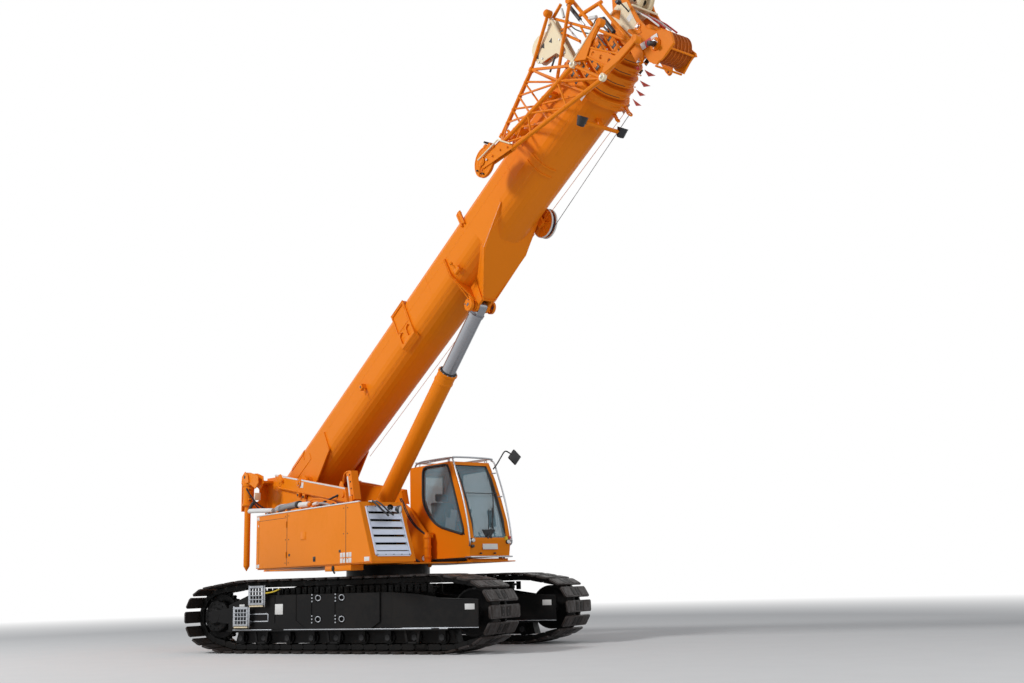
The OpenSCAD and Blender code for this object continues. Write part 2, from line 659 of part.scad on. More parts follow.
// Bores of the head plates, as l, h and radius
head_bores = [[sheave_at[0], sheave_at[1], 50], [top_at[0], top_at[1], 40],
    [head_pin[0], head_pin[1], head_pin_r], [head_l + 78, -370, 18]];
module boom_head() color(orange) on_boom() {
    section_run(head_l, head_l + 40) polygon(section(5, 20));
    difference() {
        union() {
            both_sides() {
                side_plate(head_side, head_y - 10, head_y + 20);
                bar_y(sheave_at[0], sheave_at[1], 85, head_y + 19, head_y + 45);
                side_plate(lug_low, head_y + 19, head_y + 45);
            }
            side_plate(near_side, -head_y - 20, -head_y + 10);
        }
        for (b = head_bores) bar_y(b[0], b[1], b[2], -head_y - 46, head_y + 46);
    }
    side_plate(on_head([[20, 150], [20, 480], [115, 480], [115, 150]]), -head_y, head_y);
    side_plate(cap_side, -head_y, head_y);
}

module sheave(r, w) {
    rotate([90, 0, 0]) rotate_extrude() polygon([[0, -w / 2], [r, -w / 2], [r - 30, -w / 6], [r - 30, w / 6],
        [r, w / 2], [0, w / 2]]);
}
module head_sheaves() color(orange) on_boom() translate([sheave_at[0], 0, sheave_at[1]]) {
    w = sheave_w / sheave_n;
    for (i = [0 : sheave_n - 1]) translate([0, (i - (sheave_n - 1) / 2) * w, 0]) sheave(sheave_r, w);
    bar_y(0, 0, 50 - fit, -head_y - 20, head_y + 20);
}
module top_sheaves() color("ivory") on_boom() translate([top_at[0], 0, top_at[1]]) {
    for (y = [-90, 90]) translate([0, y, 0]) sheave(270, 70);
    bar_y(0, 0, 40 - fit, -head_y - 20, head_y + 20);
}

reel_at = [6920, 60];
reel_r = 225;
module cable_reel() color(orange) on_boom() translate([reel_at[0], 0, reel_at[1]]) {
    bar_y(0, 0, reel_r, half_w(0) + 70, half_w(0) + 90);
    bar_y(0, 0, reel_r - 45, half_w(0) + 90, half_w(0) + 150);
    bar_y(0, 0, reel_r, half_w(0) + 150, half_w(0) + 170);
}

// Bracket plate on the right side of the base section, with a recessed panel over two windows
hang_l = 3785;
hang_w = 425;
hang_t = 25;
hang_top = 745;
hang_y = -half_w(0) - hang_t;
fin_l = [7850, 7980];
module boom_brackets() color(orange) on_boom() {
    box([reel_at[0] - 60, half_w(0) + 1 + seat, 0], [reel_at[0] + 60, half_w(0) + 45, 400]);
    bar_y(reel_at[0], reel_at[1], 60, half_w(0) + 20, half_w(0) + 70 - seat);
    difference() {
        translate([hang_l, 0, 0]) rotate([90, 0, 90]) linear_extrude(hang_w)
            polygon([[hang_y, 40], [hang_y + 90, -30], [-half_w(0) + 1, 200],
                [-half_w(0) + 1, hang_top - 45], [-half_w(0) + 60, hang_top], [hang_y, hang_top]]);
        box([hang_l + 35, hang_y - 1, 340], [hang_l + hang_w - 35, hang_y + 12, hang_top - 45]);
        for (l = [hang_l + 45, hang_l + hang_w - 165]) {
            box([l, hang_y - 1, 140], [l + 120, -half_w(0) + 5, 235]);
            for (h = [140, 235]) bar_y(l + 60, h, 60, hang_y - 1, -half_w(0) + 5);
        }
        section_run(hang_l - 1, hang_l + hang_w + 1) polygon(section(0, seat));
    }
    box([2430, -half_w(0) - 90, 240], [2510, -half_w(0), 330]);
    box([1220, -200, boom_mid + boom_d / 2], [1340, -60, boom_mid + boom_d / 2 + 100]);
    box([6130, -half_w(0) - 25, 600], [6230, -half_w(0) - seat, boom_mid + boom_d / 2 + 80]);
    for (l = fin_l) section_run(l, l + 25) intersection() {
        difference() {
            polygon(section(0, 14));
            polygon(section(0, seat));
        }
        translate([-600, -600]) square([520, 480]);
    }
}

lamp_l = 8990;
lamp_h = boom_low - 150;
lamp_y = 370;
module spotlights() color(black) on_boom() {
    bar_y(lamp_l, lamp_h, 22, -lamp_y, lamp_y);
    box([lamp_l - 8, -45, lamp_h], [lamp_l + 8, 45, boom_low]);
    for (s = [-1, 1]) translate([lamp_l, s * lamp_y, lamp_h]) rotate([0, 60, 0])
        cylinder(r1 = 55, r2 = 78, h = 120, center = true);
}

// Stowed lattice jib: corner points at its tip and at its base, rows of l, y, h
jib_tip = [[7920, -850, 340], [8090, -850, 90], [7905, -520, 595], [7735, -520, 845]];
jib_base = [[9640, -850, 10], [9930, -850, -630], [9070, -520, 494], [8784, -520, 1134]];
// Pin eyes of the yoke in front of the base corners, as l, y, h
jib_eye = [[10300, -850, 50], [10600, -850, -700], [9940, -600, 1170], [9530, -600, 1420]];
jib_bays = 5;
pulley_at = [7500, -850, 430];
pulley_r = 230;
// Cross plate between the two near legs of the yoke, with three holes along its middle
function leg(k, t) = let (p = jib_pt(k, 0.97) + (jib_eye[k] - jib_pt(k, 0.97)) * t) [p[0], p[2]];
yoke = [leg(0, 0.30), leg(1, 0.28), leg(1, 0.55), leg(0, 0.52)];
function yoke_mid(t) = let (a = (yoke[0] + yoke[3]) / 2, b = (yoke[1] + yoke[2]) / 2) a + (b - a) * t;
function jib_pt(k, t) = jib_tip[k] + (jib_base[k] - jib_tip[k]) * t;
module jib_side(f, n) {
    for (i = [0 : n - 1])
        tube(jib_pt(f[i % 2], (i + 0.06) / n), jib_pt(f[1 - i % 2], (i + 0.94) / n), lace_r, 6);
    tube(jib_pt(f[0], 0.01), jib_pt(f[1], 0.01), lace_r + 4, 6);
    tube(jib_pt(f[0], 0.99), jib_pt(f[1], 0.99), lace_r + 6, 6);
}
module jib() color(orange) on_boom() {
    for (k = [0 : 3]) tube(jib_tip[k], jib_base[k], chord_r);
    for (f = [[0, 1], [1, 2], [3, 2], [0, 3]]) jib_side(f, jib_bays);
    for (k = [0 : 3]) {
        tube(jib_pt(k, 0.97), jib_eye[k], chord_r - 7);
        bar_y(jib_eye[k][0], jib_eye[k][2], 55, jib_eye[k][1] - 40, jib_eye[k][1] + 40);
    }
    for (y = [-40, 28]) side_plate([[7420, 420], [7440, 340], [8100, 50], [8130, 110], [7960, 380],
        [7480, 500]], pulley_at[1] + y, pulley_at[1] + y + 12);
    bar_y(pulley_at[0], pulley_at[2], 40 - fit, pulley_at[1] - 50, pulley_at[1] + 50);
    difference() {
        side_plate(yoke, -860, -840);
        for (t = [0.32, 0.57, 0.82]) bar_y(yoke_mid(t)[0], yoke_mid(t)[1], 30, -861, -839);
    }
    for (t = [0.15, 0.8]) {
        p = jib_pt(2, t);
        box([p[0] - 40, p[1] + 10, p[2] - 25], [p[0] + 40, -half_w(0), p[2] + 25]);
    }
}
module jib_pulley() color(orange) on_boom() translate(pulley_at) difference() {
    sheave(pulley_r, 40);
    bar_y(0, 0, 40, -30, 30);
}

// Lift cylinder, drawn along its own axis from the foot pin
module lift_barrel() color(orange) on_lift() {
    difference() {
        union() {
            translate([130, 0, 0]) rotate([0, 90, 0]) cylinder(r = barrel_r, h = barrel_l - 130);
            bar_y(0, 0, barrel_r, -150, 150);
        }
        translate([220, 0, 0]) rotate([0, 90, 0]) cylinder(r = barrel_r - 25, h = barrel_l - 280);
        translate([300, 0, 0]) rotate([0, 90, 0]) cylinder(r = rod_r + fit, h = barrel_l);
    }
    bar_y(0, 0, 80, -170, 170);
}

rod_len = 3250;
module lift_rod() color("silver") on_lift() difference() {
    union() {
        translate([lift_len - rod_len, 0, 0]) rotate([0, 90, 0])
            cylinder(r = rod_r, h = rod_len - lug_r - 45);
        translate([lift_len - lug_r - 75, 0, 0]) rotate([0, 90, 0]) cylinder(r = rod_r + 12, h = 40);
        box([lift_len - lug_r - 50, 5 - lug_gap, -lug_r], [lift_len, lug_gap - 5, lug_r]);
        bar_y(lift_len, 0, lug_r, 5 - lug_gap, lug_gap - 5);
    }
    bar_y(lift_len, 0, rod_pin_r + fit, -lug_gap, lug_gap);
}

car_body();
slew_ring_lower();
track_frame_right();
track_frame_left();
track_right();
track_left();
sprockets();
idlers();
access_steps();
slew_ring_upper();
deck();
cheeks();
boom_pins();
ballast_brackets();
ballast_rod_right();
ballast_rod_left();
engine_hood();
louvre_panel();
engine();
tank_housing();
hose_box();
cab_base();
hoist_drum();
cab_shell();
cab_glass();
cab_seat();
cab_rails();
cab_door();
door_glass();
boom_base();
cable_reel();
boom_brackets();
spotlights();
jib();
jib_pulley();
tele_1();
tele_2();
tele_3();
tele_4();
tele_5();
boom_head();
head_sheaves();
top_sheaves();
lift_rod();
lift_barrel();
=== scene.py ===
import bpy, bmesh, math
from mathutils import Matrix, Vector


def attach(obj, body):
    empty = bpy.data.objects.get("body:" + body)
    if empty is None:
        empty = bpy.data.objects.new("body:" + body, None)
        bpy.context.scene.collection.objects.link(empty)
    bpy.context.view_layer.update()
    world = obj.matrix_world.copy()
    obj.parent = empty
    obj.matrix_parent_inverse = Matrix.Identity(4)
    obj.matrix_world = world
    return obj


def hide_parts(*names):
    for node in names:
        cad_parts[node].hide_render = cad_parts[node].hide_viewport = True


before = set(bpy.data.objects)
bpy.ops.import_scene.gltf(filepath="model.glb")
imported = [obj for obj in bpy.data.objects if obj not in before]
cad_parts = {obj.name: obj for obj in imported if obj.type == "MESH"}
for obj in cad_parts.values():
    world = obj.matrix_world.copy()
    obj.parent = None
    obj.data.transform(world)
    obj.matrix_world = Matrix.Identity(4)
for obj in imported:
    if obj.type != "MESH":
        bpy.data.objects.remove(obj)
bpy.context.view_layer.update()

# Rest placement of the slewed superstructure and the raised boom, in metres
SLEW = math.radians(-24.06)
LUFF = math.radians(29.85)
PIVOT = (-2.086, 0.0, 2.888)
UP = (0, 0, 1)
ON_SLEW = Matrix.Rotation(SLEW, 4, "Z")
ON_BOOM = ON_SLEW @ Matrix.Translation(PIVOT) @ Matrix.Rotation(-LUFF, 4, "Y")


# Shader maths: one socket wrapped, so that values add up as plain expressions
class Wire:
    def __init__(self, tree, socket):
        self.tree, self.socket = tree, socket

    def math(self, operation, other=None, flip=False):
        node = self.tree.nodes.new("ShaderNodeMath")
        node.operation = operation
        ends = [self, other] if not flip else [other, self]
        for slot, end in enumerate(ends):
            if isinstance(end, Wire):
                self.tree.links.new(end.socket, node.inputs[slot])
            elif end is not None:
                node.inputs[slot].default_value = end
        return Wire(self.tree, node.outputs[0])

    def __add__(self, other): return self.math("ADD", other)
    def __rsub__(self, other): return self.math("SUBTRACT", other, True)
    def __mul__(self, other): return self.math("MULTIPLY", other)
    def power(self, other): return self.math("POWER", other)
    def top(self, other): return self.math("MAXIMUM", other)


class Finish:
    def __init__(self, name):
        self.material = bpy.data.materials.new(name)
        self.material.use_nodes = True
        self.tree = self.material.node_tree
        self.tree.nodes.clear()
        self.out = self.tree.nodes.new("ShaderNodeOutputMaterial")
        self.shader = self.tree.nodes.new("ShaderNodeBsdfPrincipled")
        self.tree.links.new(self.shader.outputs[0], self.out.inputs[0])
        self.place = self.node("ShaderNodeTexCoord", output="Object")

    def node(self, kind, settings=None, inputs=None, stops=None, output=0):
        node = self.tree.nodes.new(kind)
        for key, value in (settings or {}).items():
            setattr(node, key, value)
        if stops:
            ramp = node.color_ramp.elements
            while len(ramp) < len(stops):
                ramp.new(0.5)
            for spot, (at, colour) in zip(ramp, stops):
                spot.position, spot.color = at, colour
        for key, value in (inputs or {}).items():
            if isinstance(value, Wire):
                self.tree.links.new(value.socket, node.inputs[key])
            else:
                node.inputs[key].default_value = value
        return Wire(self.tree, node.outputs[output])

    def noise(self, scale, detail=4.0, rough=0.5, at=None):
        return self.node("ShaderNodeTexNoise", inputs={"Vector": at or self.place, "Scale": scale,
                         "Detail": detail, "Roughness": rough})

    def stretched(self, sx, sy, sz):
        return self.node("ShaderNodeMapping", inputs={"Vector": self.place, "Scale": (sx, sy, sz)})

    def axes(self):
        node = self.tree.nodes.new("ShaderNodeSeparateXYZ")
        self.tree.links.new(self.place.socket, node.inputs[0])
        return [Wire(self.tree, end) for end in node.outputs]

    def ramp(self, value, low, high):
        return self.node("ShaderNodeMapRange", inputs={0: value, 1: low, 2: high})

    def blend(self, amount, first, second, kind="MIX"):
        return self.node("ShaderNodeMix", {"data_type": "RGBA", "blend_type": kind},
                         {0: amount, 6: first, 7: second}, output=2)

    def bump(self, height, strength, distance):
        return self.node("ShaderNodeBump",
                         inputs={"Height": height, "Strength": strength, "Distance": distance})

    def set(self, **values):
        for key, value in values.items():
            key = key.replace("_", " ")
            if isinstance(value, Wire):
                self.tree.links.new(value.socket, self.shader.inputs[key])
            else:
                self.shader.inputs[key].default_value = value
        return self.material


def rgb(red, green, blue):
    return (red, green, blue, 1.0)


def painted(name, colour, dusty, rough=0.4, dirt=0.35, coat=0.04, shine=0.1):
    paint = Finish(name)
    broad = paint.noise(0.9, 5.0, 0.55)
    fine = paint.noise(14.0, 6.0, 0.6)
    peel = paint.noise(190.0, 2.0, 0.5)
    soil = paint.ramp(broad * 0.65 + fine * 0.35, 0.5, 0.78) * dirt
    tint = paint.blend(soil, colour, dusty)
    return paint.set(Base_Color=tint, Roughness=soil * 0.9 + rough, Coat_Weight=coat, Specular_IOR_Level=shine,
                     Coat_Roughness=0.12, Normal=paint.bump(peel * 0.4 + fine * 0.6, 0.12, 0.004))


ORANGE = rgb(0.82, 0.222, 0.006)
orange_paint = painted("orange gloss paint", ORANGE, rgb(0.58, 0.17, 0.014), dirt=0.22)
boom_paint = painted("boom orange paint", rgb(0.81, 0.215, 0.006), rgb(0.56, 0.16, 0.012), dirt=0.16)
black_paint = painted("black chassis paint", rgb(0.008, 0.0078, 0.008), rgb(0.03, 0.025, 0.021), 0.4, 0.6, 0.0, 0.14)
grey_paint = painted("grey machine paint", rgb(0.16, 0.16, 0.17), rgb(0.09, 0.08, 0.07), 0.45, 0.6, 0.0)
ivory = painted("ivory plastic", rgb(0.84, 0.72, 0.5), rgb(0.55, 0.45, 0.3), 0.4, 0.3, 0.1)


def worn_steel():
    steel = Finish("worn track steel")
    scrape = steel.noise(7.0, 6.0, 0.65, steel.stretched(1.0, 3.0, 1.0))
    speck = steel.noise(40.0, 5.0, 0.7)
    shine = steel.ramp(scrape * 0.7 + speck * 0.3, 0.42, 0.62)
    tone = steel.blend(shine, rgb(0.016, 0.009, 0.006), rgb(0.055, 0.05, 0.05))
    return steel.set(Base_Color=tone, Metallic=shine * 0.8, Roughness=0.55 - shine * 0.2,
                     Specular_IOR_Level=0.25, Normal=steel.bump(speck + scrape, 0.35, 0.003))


def bare_metal(name, colour, rough, grain):
    metal = Finish(name)
    streak = metal.noise(grain, 4.0, 0.6, metal.stretched(1.0, 1.0, 6.0))
    return metal.set(Base_Color=metal.blend(streak * 0.5, colour, rgb(*[c * 0.6 for c in colour[:3]])),
                     Metallic=0.9, Roughness=streak * 0.2 + rough, Normal=metal.bump(streak, 0.08, 0.001))


def window_glass():
    glass = Finish("tinted window glass")
    haze = glass.noise(3.0, 3.0, 0.5)
    return glass.set(Base_Color=glass.blend(haze, rgb(0.14, 0.29, 0.36), rgb(0.24, 0.42, 0.5)),
                     Alpha=haze * 0.1 + 0.36, Roughness=haze * 0.04 + 0.02, Metallic=0.0)


def cloth(name, colour, darker):
    fabric = Finish(name)
    weave = fabric.noise(260.0, 2.0, 0.5)
    soft = fabric.noise(9.0, 4.0, 0.5)
    return fabric.set(Base_Color=fabric.blend(weave * 0.6 + soft * 0.4, colour, darker),
                      Roughness=weave * 0.1 + 0.8, Normal=fabric.bump(weave, 0.4, 0.001))


def moulded(name, colour, rough=0.5):
    plastic = Finish(name)
    grain = plastic.noise(300.0, 2.0, 0.5)
    soft = plastic.noise(5.0, 4.0, 0.5)
    return plastic.set(Base_Color=plastic.blend(soft * 0.6, colour, rgb(*[c * 0.65 for c in colour[:3]])),
                       Roughness=grain * 0.15 + rough, Normal=plastic.bump(grain, 0.15, 0.0006))


track_steel = worn_steel()
aluminium = bare_metal("galvanised steps", rgb(0.5, 0.52, 0.55), 0.35, 18.0)
chrome = bare_metal("polished rod", rgb(0.42, 0.43, 0.46), 0.14, 12.0)
glass = window_glass()
seat_cloth = cloth("grey seat cloth", rgb(0.13, 0.14, 0.15), rgb(0.07, 0.075, 0.08))
lamp_black = moulded("black lamp plastic", rgb(0.015, 0.015, 0.017), 0.4)
rubber = moulded("black rubber", rgb(0.014, 0.014, 0.015), 0.6)
white_strip = moulded("white plastic", rgb(0.78, 0.78, 0.76), 0.45)
red_plastic = moulded("red reflector", rgb(0.62, 0.02, 0.02), 0.35)
yellow_paint = painted("yellow bar paint", rgb(0.75, 0.55, 0.06), rgb(0.3, 0.22, 0.05), 0.4)
chain_black = painted("oily chain steel", rgb(0.007, 0.0068, 0.0068), rgb(0.028, 0.022, 0.018), 0.45, 0.8, 0.0, 0.15)
louvre_silver = bare_metal("silver louvre", rgb(0.5, 0.55, 0.66), 0.34, 10.0)
rope_steel = bare_metal("greased wire rope", rgb(0.1, 0.1, 0.105), 0.45, 60.0)
hose_grey = moulded("grey ribbed hose", rgb(0.36, 0.37, 0.38), 0.5)
lens_white = moulded("clear lens", rgb(0.8, 0.82, 0.84), 0.12)
mirror_glass = bare_metal("mirror glass", rgb(0.7, 0.72, 0.74), 0.05, 2.0)
screen_blue = moulded("display screen", rgb(0.06, 0.1, 0.16), 0.12)
paper_white = moulded("white card", rgb(0.62, 0.64, 0.64), 0.6)
reel_blue = painted("dark blue band", rgb(0.02, 0.025, 0.055), rgb(0.05, 0.045, 0.05), 0.35, 0.4, 0.2)
sheave_brown = painted("sheave orange brown", rgb(0.5, 0.12, 0.012), rgb(0.3, 0.08, 0.02), 0.4, 0.3, 0.1)
pointer_pink = moulded("pink pointer", rgb(0.85, 0.22, 0.2), 0.5)


def stand(axis):
    return Vector(axis).to_track_quat("Z", "Y").to_matrix().to_4x4()


def rounded(shape, edges, soft, segments=2):
    bmesh.ops.bevel(shape, geom=edges, offset=soft, segments=segments, profile=0.5, affect="EDGES", material=-1)


def prism(outline, low, high, axis="y"):
    lay = {"x": lambda u, v, w: (w, u, v), "y": lambda u, v, w: (u, w, v), "z": lambda u, v, w: (u, v, w)}[axis]
    shape = bmesh.new()
    face = shape.faces.new([shape.verts.new(lay(u, v, low)) for u, v in outline])
    grown = bmesh.ops.extrude_face_region(shape, geom=[face])
    moved = [v for v in grown["geom"] if isinstance(v, bmesh.types.BMVert)]
    bmesh.ops.translate(shape, vec=lay(0, 0, high - low), verts=moved)
    bmesh.ops.recalc_face_normals(shape, faces=shape.faces)
    return shape


# One dressed piece: its shapes are made one by one in the frame it sits in, then gathered.
# The first finish is the piece's own; an ink is another finish for one shape.
class Piece:
    def __init__(self, name, rides_on, finish, at=Matrix(), slot="orange_paint"):
        self.name, self.rides_on, self.at, self.slot = name, rides_on, at, slot
        self.finishes = [finish]
        self.whole = bmesh.new()

    def gather(self, shape):
        mesh = bpy.data.meshes.new("shape")
        shape.to_mesh(mesh)
        shape.free()
        self.whole.from_mesh(mesh)
        bpy.data.meshes.remove(mesh)

    def keep(self, shape, ink=None):
        ink = ink or self.finishes[0]
        if ink not in self.finishes:
            self.finishes.append(ink)
        for face in shape.faces:
            face.material_index, face.smooth = self.finishes.index(ink), True
        self.gather(shape)

    def stamp(self, mesh, place):
        shape = bmesh.new()
        shape.from_mesh(mesh)
        shape.transform(place)
        self.gather(shape)

    def block(self, low, high, soft=0.0, ink=None, turn=None):
        shape = bmesh.new()
        bmesh.ops.create_cube(shape, size=1.0)
        bmesh.ops.scale(shape, vec=[abs(b - a) for a, b in zip(low, high)], verts=shape.verts)
        middle = [(a + b) / 2 for a, b in zip(low, high)]
        bmesh.ops.translate(shape, vec=middle, verts=shape.verts)
        if soft:
            rounded(shape, shape.edges[:], soft)
        if turn is not None:
            bmesh.ops.rotate(shape, cent=middle, matrix=turn, verts=shape.verts)
        self.keep(shape, ink)

    def rod(self, start, end, radius, sides=14, ink=None, soft=0.0):
        start, end = Vector(start), Vector(end)
        shape = bmesh.new()
        bmesh.ops.create_cone(shape, cap_ends=True, segments=sides, radius1=radius, radius2=radius,
                              depth=(end - start).length)
        if soft:
            rounded(shape, [e for e in shape.edges if abs(e.verts[0].co.z - e.verts[1].co.z) < 1e-6], soft)
        shape.transform(Matrix.Translation((start + end) / 2) @ stand(end - start))
        self.keep(shape, ink)

    def plate(self, outline, low, high, axis="y", soft=0.0, ink=None, turn=None, about=(0, 0, 0)):
        shape = prism(outline, *sorted((low, high)), axis)
        if soft:
            rounded(shape, shape.edges[:], soft, 1)
        if turn is not None:
            bmesh.ops.rotate(shape, cent=about, matrix=turn, verts=shape.verts)
        self.keep(shape, ink)

    def lathe(self, profile, centre, axis, steps=28, ink=None, closed=False):
        shape = bmesh.new()
        spots = [shape.verts.new((r, 0.0, h)) for r, h in profile]
        pairs = list(zip(spots, spots[1:])) + ([(spots[-1], spots[0])] if closed else [])
        lines = [shape.edges.new(pair) for pair in pairs]
        bmesh.ops.spin(shape, geom=spots + lines, axis=(0, 0, 1), cent=(0, 0, 0), steps=steps,
                       angle=math.tau, use_merge=True)
        bmesh.ops.remove_doubles(shape, verts=shape.verts, dist=1e-5)
        bmesh.ops.recalc_face_normals(shape, faces=shape.faces)
        shape.transform(Matrix.Translation(centre) @ stand(axis))
        self.keep(shape, ink)

    def ring(self, centre, axis, radius, tube, steps=20, ink=None):
        self.lathe([(radius + u, v) for u, _, v in circle((0, 0, 0), "y", tube, 8)], centre, axis, steps, ink, True)

    def bolt(self, centre, axis, radius, height, ink=None):
        self.rod(centre, Vector(centre) + Vector(axis).normalized() * height, radius, 6, ink)

    def bolts(self, spots, axis, radius, height, ink=None):
        for spot in spots:
            self.bolt(spot, axis, radius, height, ink)

    # A round bar along a smooth curve, or a bead along straight runs
    def hose(self, points, radius, ink=None, sides=3, smooth=True):
        data = bpy.data.curves.new("run", "CURVE")
        data.dimensions, data.bevel_depth, data.bevel_resolution = "3D", radius, sides
        data.use_fill_caps, data.resolution_u = True, 5
        spline = data.splines.new("NURBS" if smooth else "POLY")
        spline.points.add(len(points) - 1)
        for spot, point in zip(spline.points, points):
            spot.co = (*point, 1.0)
        if smooth:
            spline.use_endpoint_u, spline.order_u = True, 3
        holder = bpy.data.objects.new("run", data)
        mesh = bpy.data.meshes.new_from_object(holder)
        shape = bmesh.new()
        shape.from_mesh(mesh)
        bmesh.ops.remove_doubles(shape, verts=shape.verts, dist=1e-5)
        bmesh.ops.recalc_face_normals(shape, faces=shape.faces)
        self.keep(shape, ink)
        bpy.data.objects.remove(holder)
        bpy.data.meshes.remove(mesh)
        bpy.data.curves.remove(data)

    def bead(self, points, radius, sides=2, ink=None):
        self.hose(points, radius, ink, sides, False)

    def done(self, *nodes):
        self.whole.transform(self.at)
        mesh = bpy.data.meshes.new(self.name)
        self.whole.to_mesh(mesh)
        self.whole.free()
        mesh.set_sharp_from_angle(angle=math.radians(32))
        for finish in self.finishes:
            mesh.materials.append(finish)
        made = bpy.data.objects.new(self.name, mesh)
        bpy.context.scene.collection.objects.link(made)
        if nodes:
            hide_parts(*nodes)
        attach(made, self.rides_on)
        return made


def circle(centre, axis, radius, count, start=0.0):
    x, y, z = centre
    turns = [start + k * math.tau / count for k in range(count)]
    return [{"x": (x, y + radius * math.cos(a), z + radius * math.sin(a)),
             "y": (x + radius * math.cos(a), y, z + radius * math.sin(a)),
             "z": (x + radius * math.cos(a), y + radius * math.sin(a), z)}[axis] for a in turns]


def corner_arcs(points, reach, steps=5):
    arcs = []
    for k, spot in enumerate(points):
        here, back, ahead = Vector(spot), Vector(points[k - 1]), Vector(points[(k + 1) % len(points)])
        start = here + (back - here).normalized() * min(reach, (back - here).length * 0.48)
        end = here + (ahead - here).normalized() * min(reach, (ahead - here).length * 0.48)
        arcs.append([tuple(start * (1 - t) ** 2 + here * 2 * t * (1 - t) + end * t * t)
                     for t in [i / steps for i in range(steps + 1)]])
    return arcs


def turned(axis, degrees):
    return Matrix.Rotation(math.radians(degrees), 3, axis)


# Tracks: the chain follows the same arcs and straights as the CAD loop
AXLE_X, AXLE_Z, PITCH_R, LINK_H, SHOE_T = 2.475, 0.585, 0.403, 0.09, 0.042
CHAIN_LOW, CHAIN_TOP = SHOE_T + LINK_H / 2, 1.16 - SHOE_T - LINK_H / 2
TRACK_Y = 1.245
SIDES = (("right", -1), ("left", 1))


def chain_path(grow):
    def bearing(v): return math.atan2(v.y, v.x)
    def arrive(p, c, r): return bearing(c - p) - math.asin(r / (c - p).length) - math.pi / 2
    def depart(c, q, r): return bearing(q - c) + math.asin(r / (q - c).length) - math.pi / 2
    def past(a, b): return b + math.tau if b < a else b
    def arc(c, r, a, b): return [c + r * Vector((math.cos(a + (b - a) * i / 11), math.sin(a + (b - a) * i / 11)))
                                 for i in range(12)]
    r, low, top = PITCH_R + grow, CHAIN_LOW - grow, CHAIN_TOP + grow
    front, rear = Vector((AXLE_X, AXLE_Z)), Vector((-AXLE_X, AXLE_Z))
    p, q, u, v = Vector((2.13, low)), Vector((2.05, top)), Vector((-1.8, top)), Vector((-2.13, low))
    a0 = arrive(p, front, r)
    a2 = arrive(u, rear, r)
    return [p] + arc(front, r, a0, past(a0, depart(front, q, r))) + [q, u] + \
        arc(rear, r, a2, past(a2, depart(rear, v, r))) + [v]


def along(path, run):
    for a, b in zip(path, path[1:] + path[:1]):
        length = (b - a).length
        if run <= length:
            return a + (b - a) * (run / length)
        run -= length
    return path[0]


OUTER_PATH = chain_path(LINK_H / 2)
OUTER_RUN = sum((b - a).length for a, b in zip(OUTER_PATH, OUTER_PATH[1:] + OUTER_PATH[:1]))
SHOE_COUNT = round(OUTER_RUN / 0.236)
SHOE_LONG = OUTER_RUN / SHOE_COUNT - 0.045


def cut_corners(reach, low, high, cut, drop):
    return [(reach, low + drop), (reach, high - drop), (reach - cut, high), (-reach + cut, high),
            (-reach, high - drop), (-reach, low + drop), (-reach + cut, low), (reach - cut, low)]


# One shoe with its grouser pads, pad bolts and the two chain links below it
def track_shoe():
    shoe = Piece("shoe", "undercarriage", track_steel)
    half = SHOE_LONG / 2
    long = half + 0.022
    shoe.plate(cut_corners(half, -0.45, 0.45, 0.025, 0.025), -0.036, -0.006, "z", 0.004)
    for side in (-1, 1):
        for low, high, u0, u1, inner, outer, soft, ink in (
                (-0.0415, -0.034, (0.012, 0.012), (0.02, 0.02), 0.15, 0.405, 0.005, None),
                (-0.0395, -0.035, (0.02, 0.03), (0.035, 0.02), 0.03, 0.125, 0.002, chain_black)):
            shoe.plate([(-half + u0[0], side * inner), (half - u0[1], side * inner), (half - u1[1], side * outer),
                        (-half + u1[0], side * outer)], low, high, "z", soft, ink)
        shoe.bolts([(step, side * 0.078, -0.034) for step in (-0.04, 0.04)], (0, 0, -1), 0.019, 0.0078)
        shoe.plate(cut_corners(long, 0.0, 0.088, 0.02, 0.022), side * 0.095 - 0.028, side * 0.095 + 0.028,
                   "y", 0.006, chain_black)
        shoe.rod((long - 0.008, side * 0.12, 0.044), (long - 0.008, side * 0.128, 0.044), 0.03, 10, chain_black)
    shoe.block((-0.06, -0.07, -0.008), (0.06, 0.07, 0.012), 0.004, chain_black)
    return shoe


def dress_tracks():
    shoe = track_shoe()
    mesh = bpy.data.meshes.new("shoe")
    shoe.whole.to_mesh(mesh)
    shoe.whole.free()
    for name, side in SIDES:
        chain = Piece("track_%s_shoes" % name, "undercarriage", track_steel, slot="track_steel")
        chain.finishes = shoe.finishes
        for i in range(SHOE_COUNT):
            middle = (i + 0.5) * OUTER_RUN / SHOE_COUNT
            a, b = along(OUTER_PATH, middle - SHOE_LONG / 2), along(OUTER_PATH, middle + SHOE_LONG / 2)
            ahead = (b - a).normalized()
            chain.stamp(mesh, Matrix.Translation(((a.x + b.x) / 2, side * TRACK_Y, (a.y + b.y) / 2)) @ Matrix(
                ((ahead.x, 0, -ahead.y, 0), (0, 1, 0, 0), (ahead.y, 0, ahead.x, 0), (0, 0, 0, 1))))
        chain.done("track_" + name)
    bpy.data.meshes.remove(mesh)


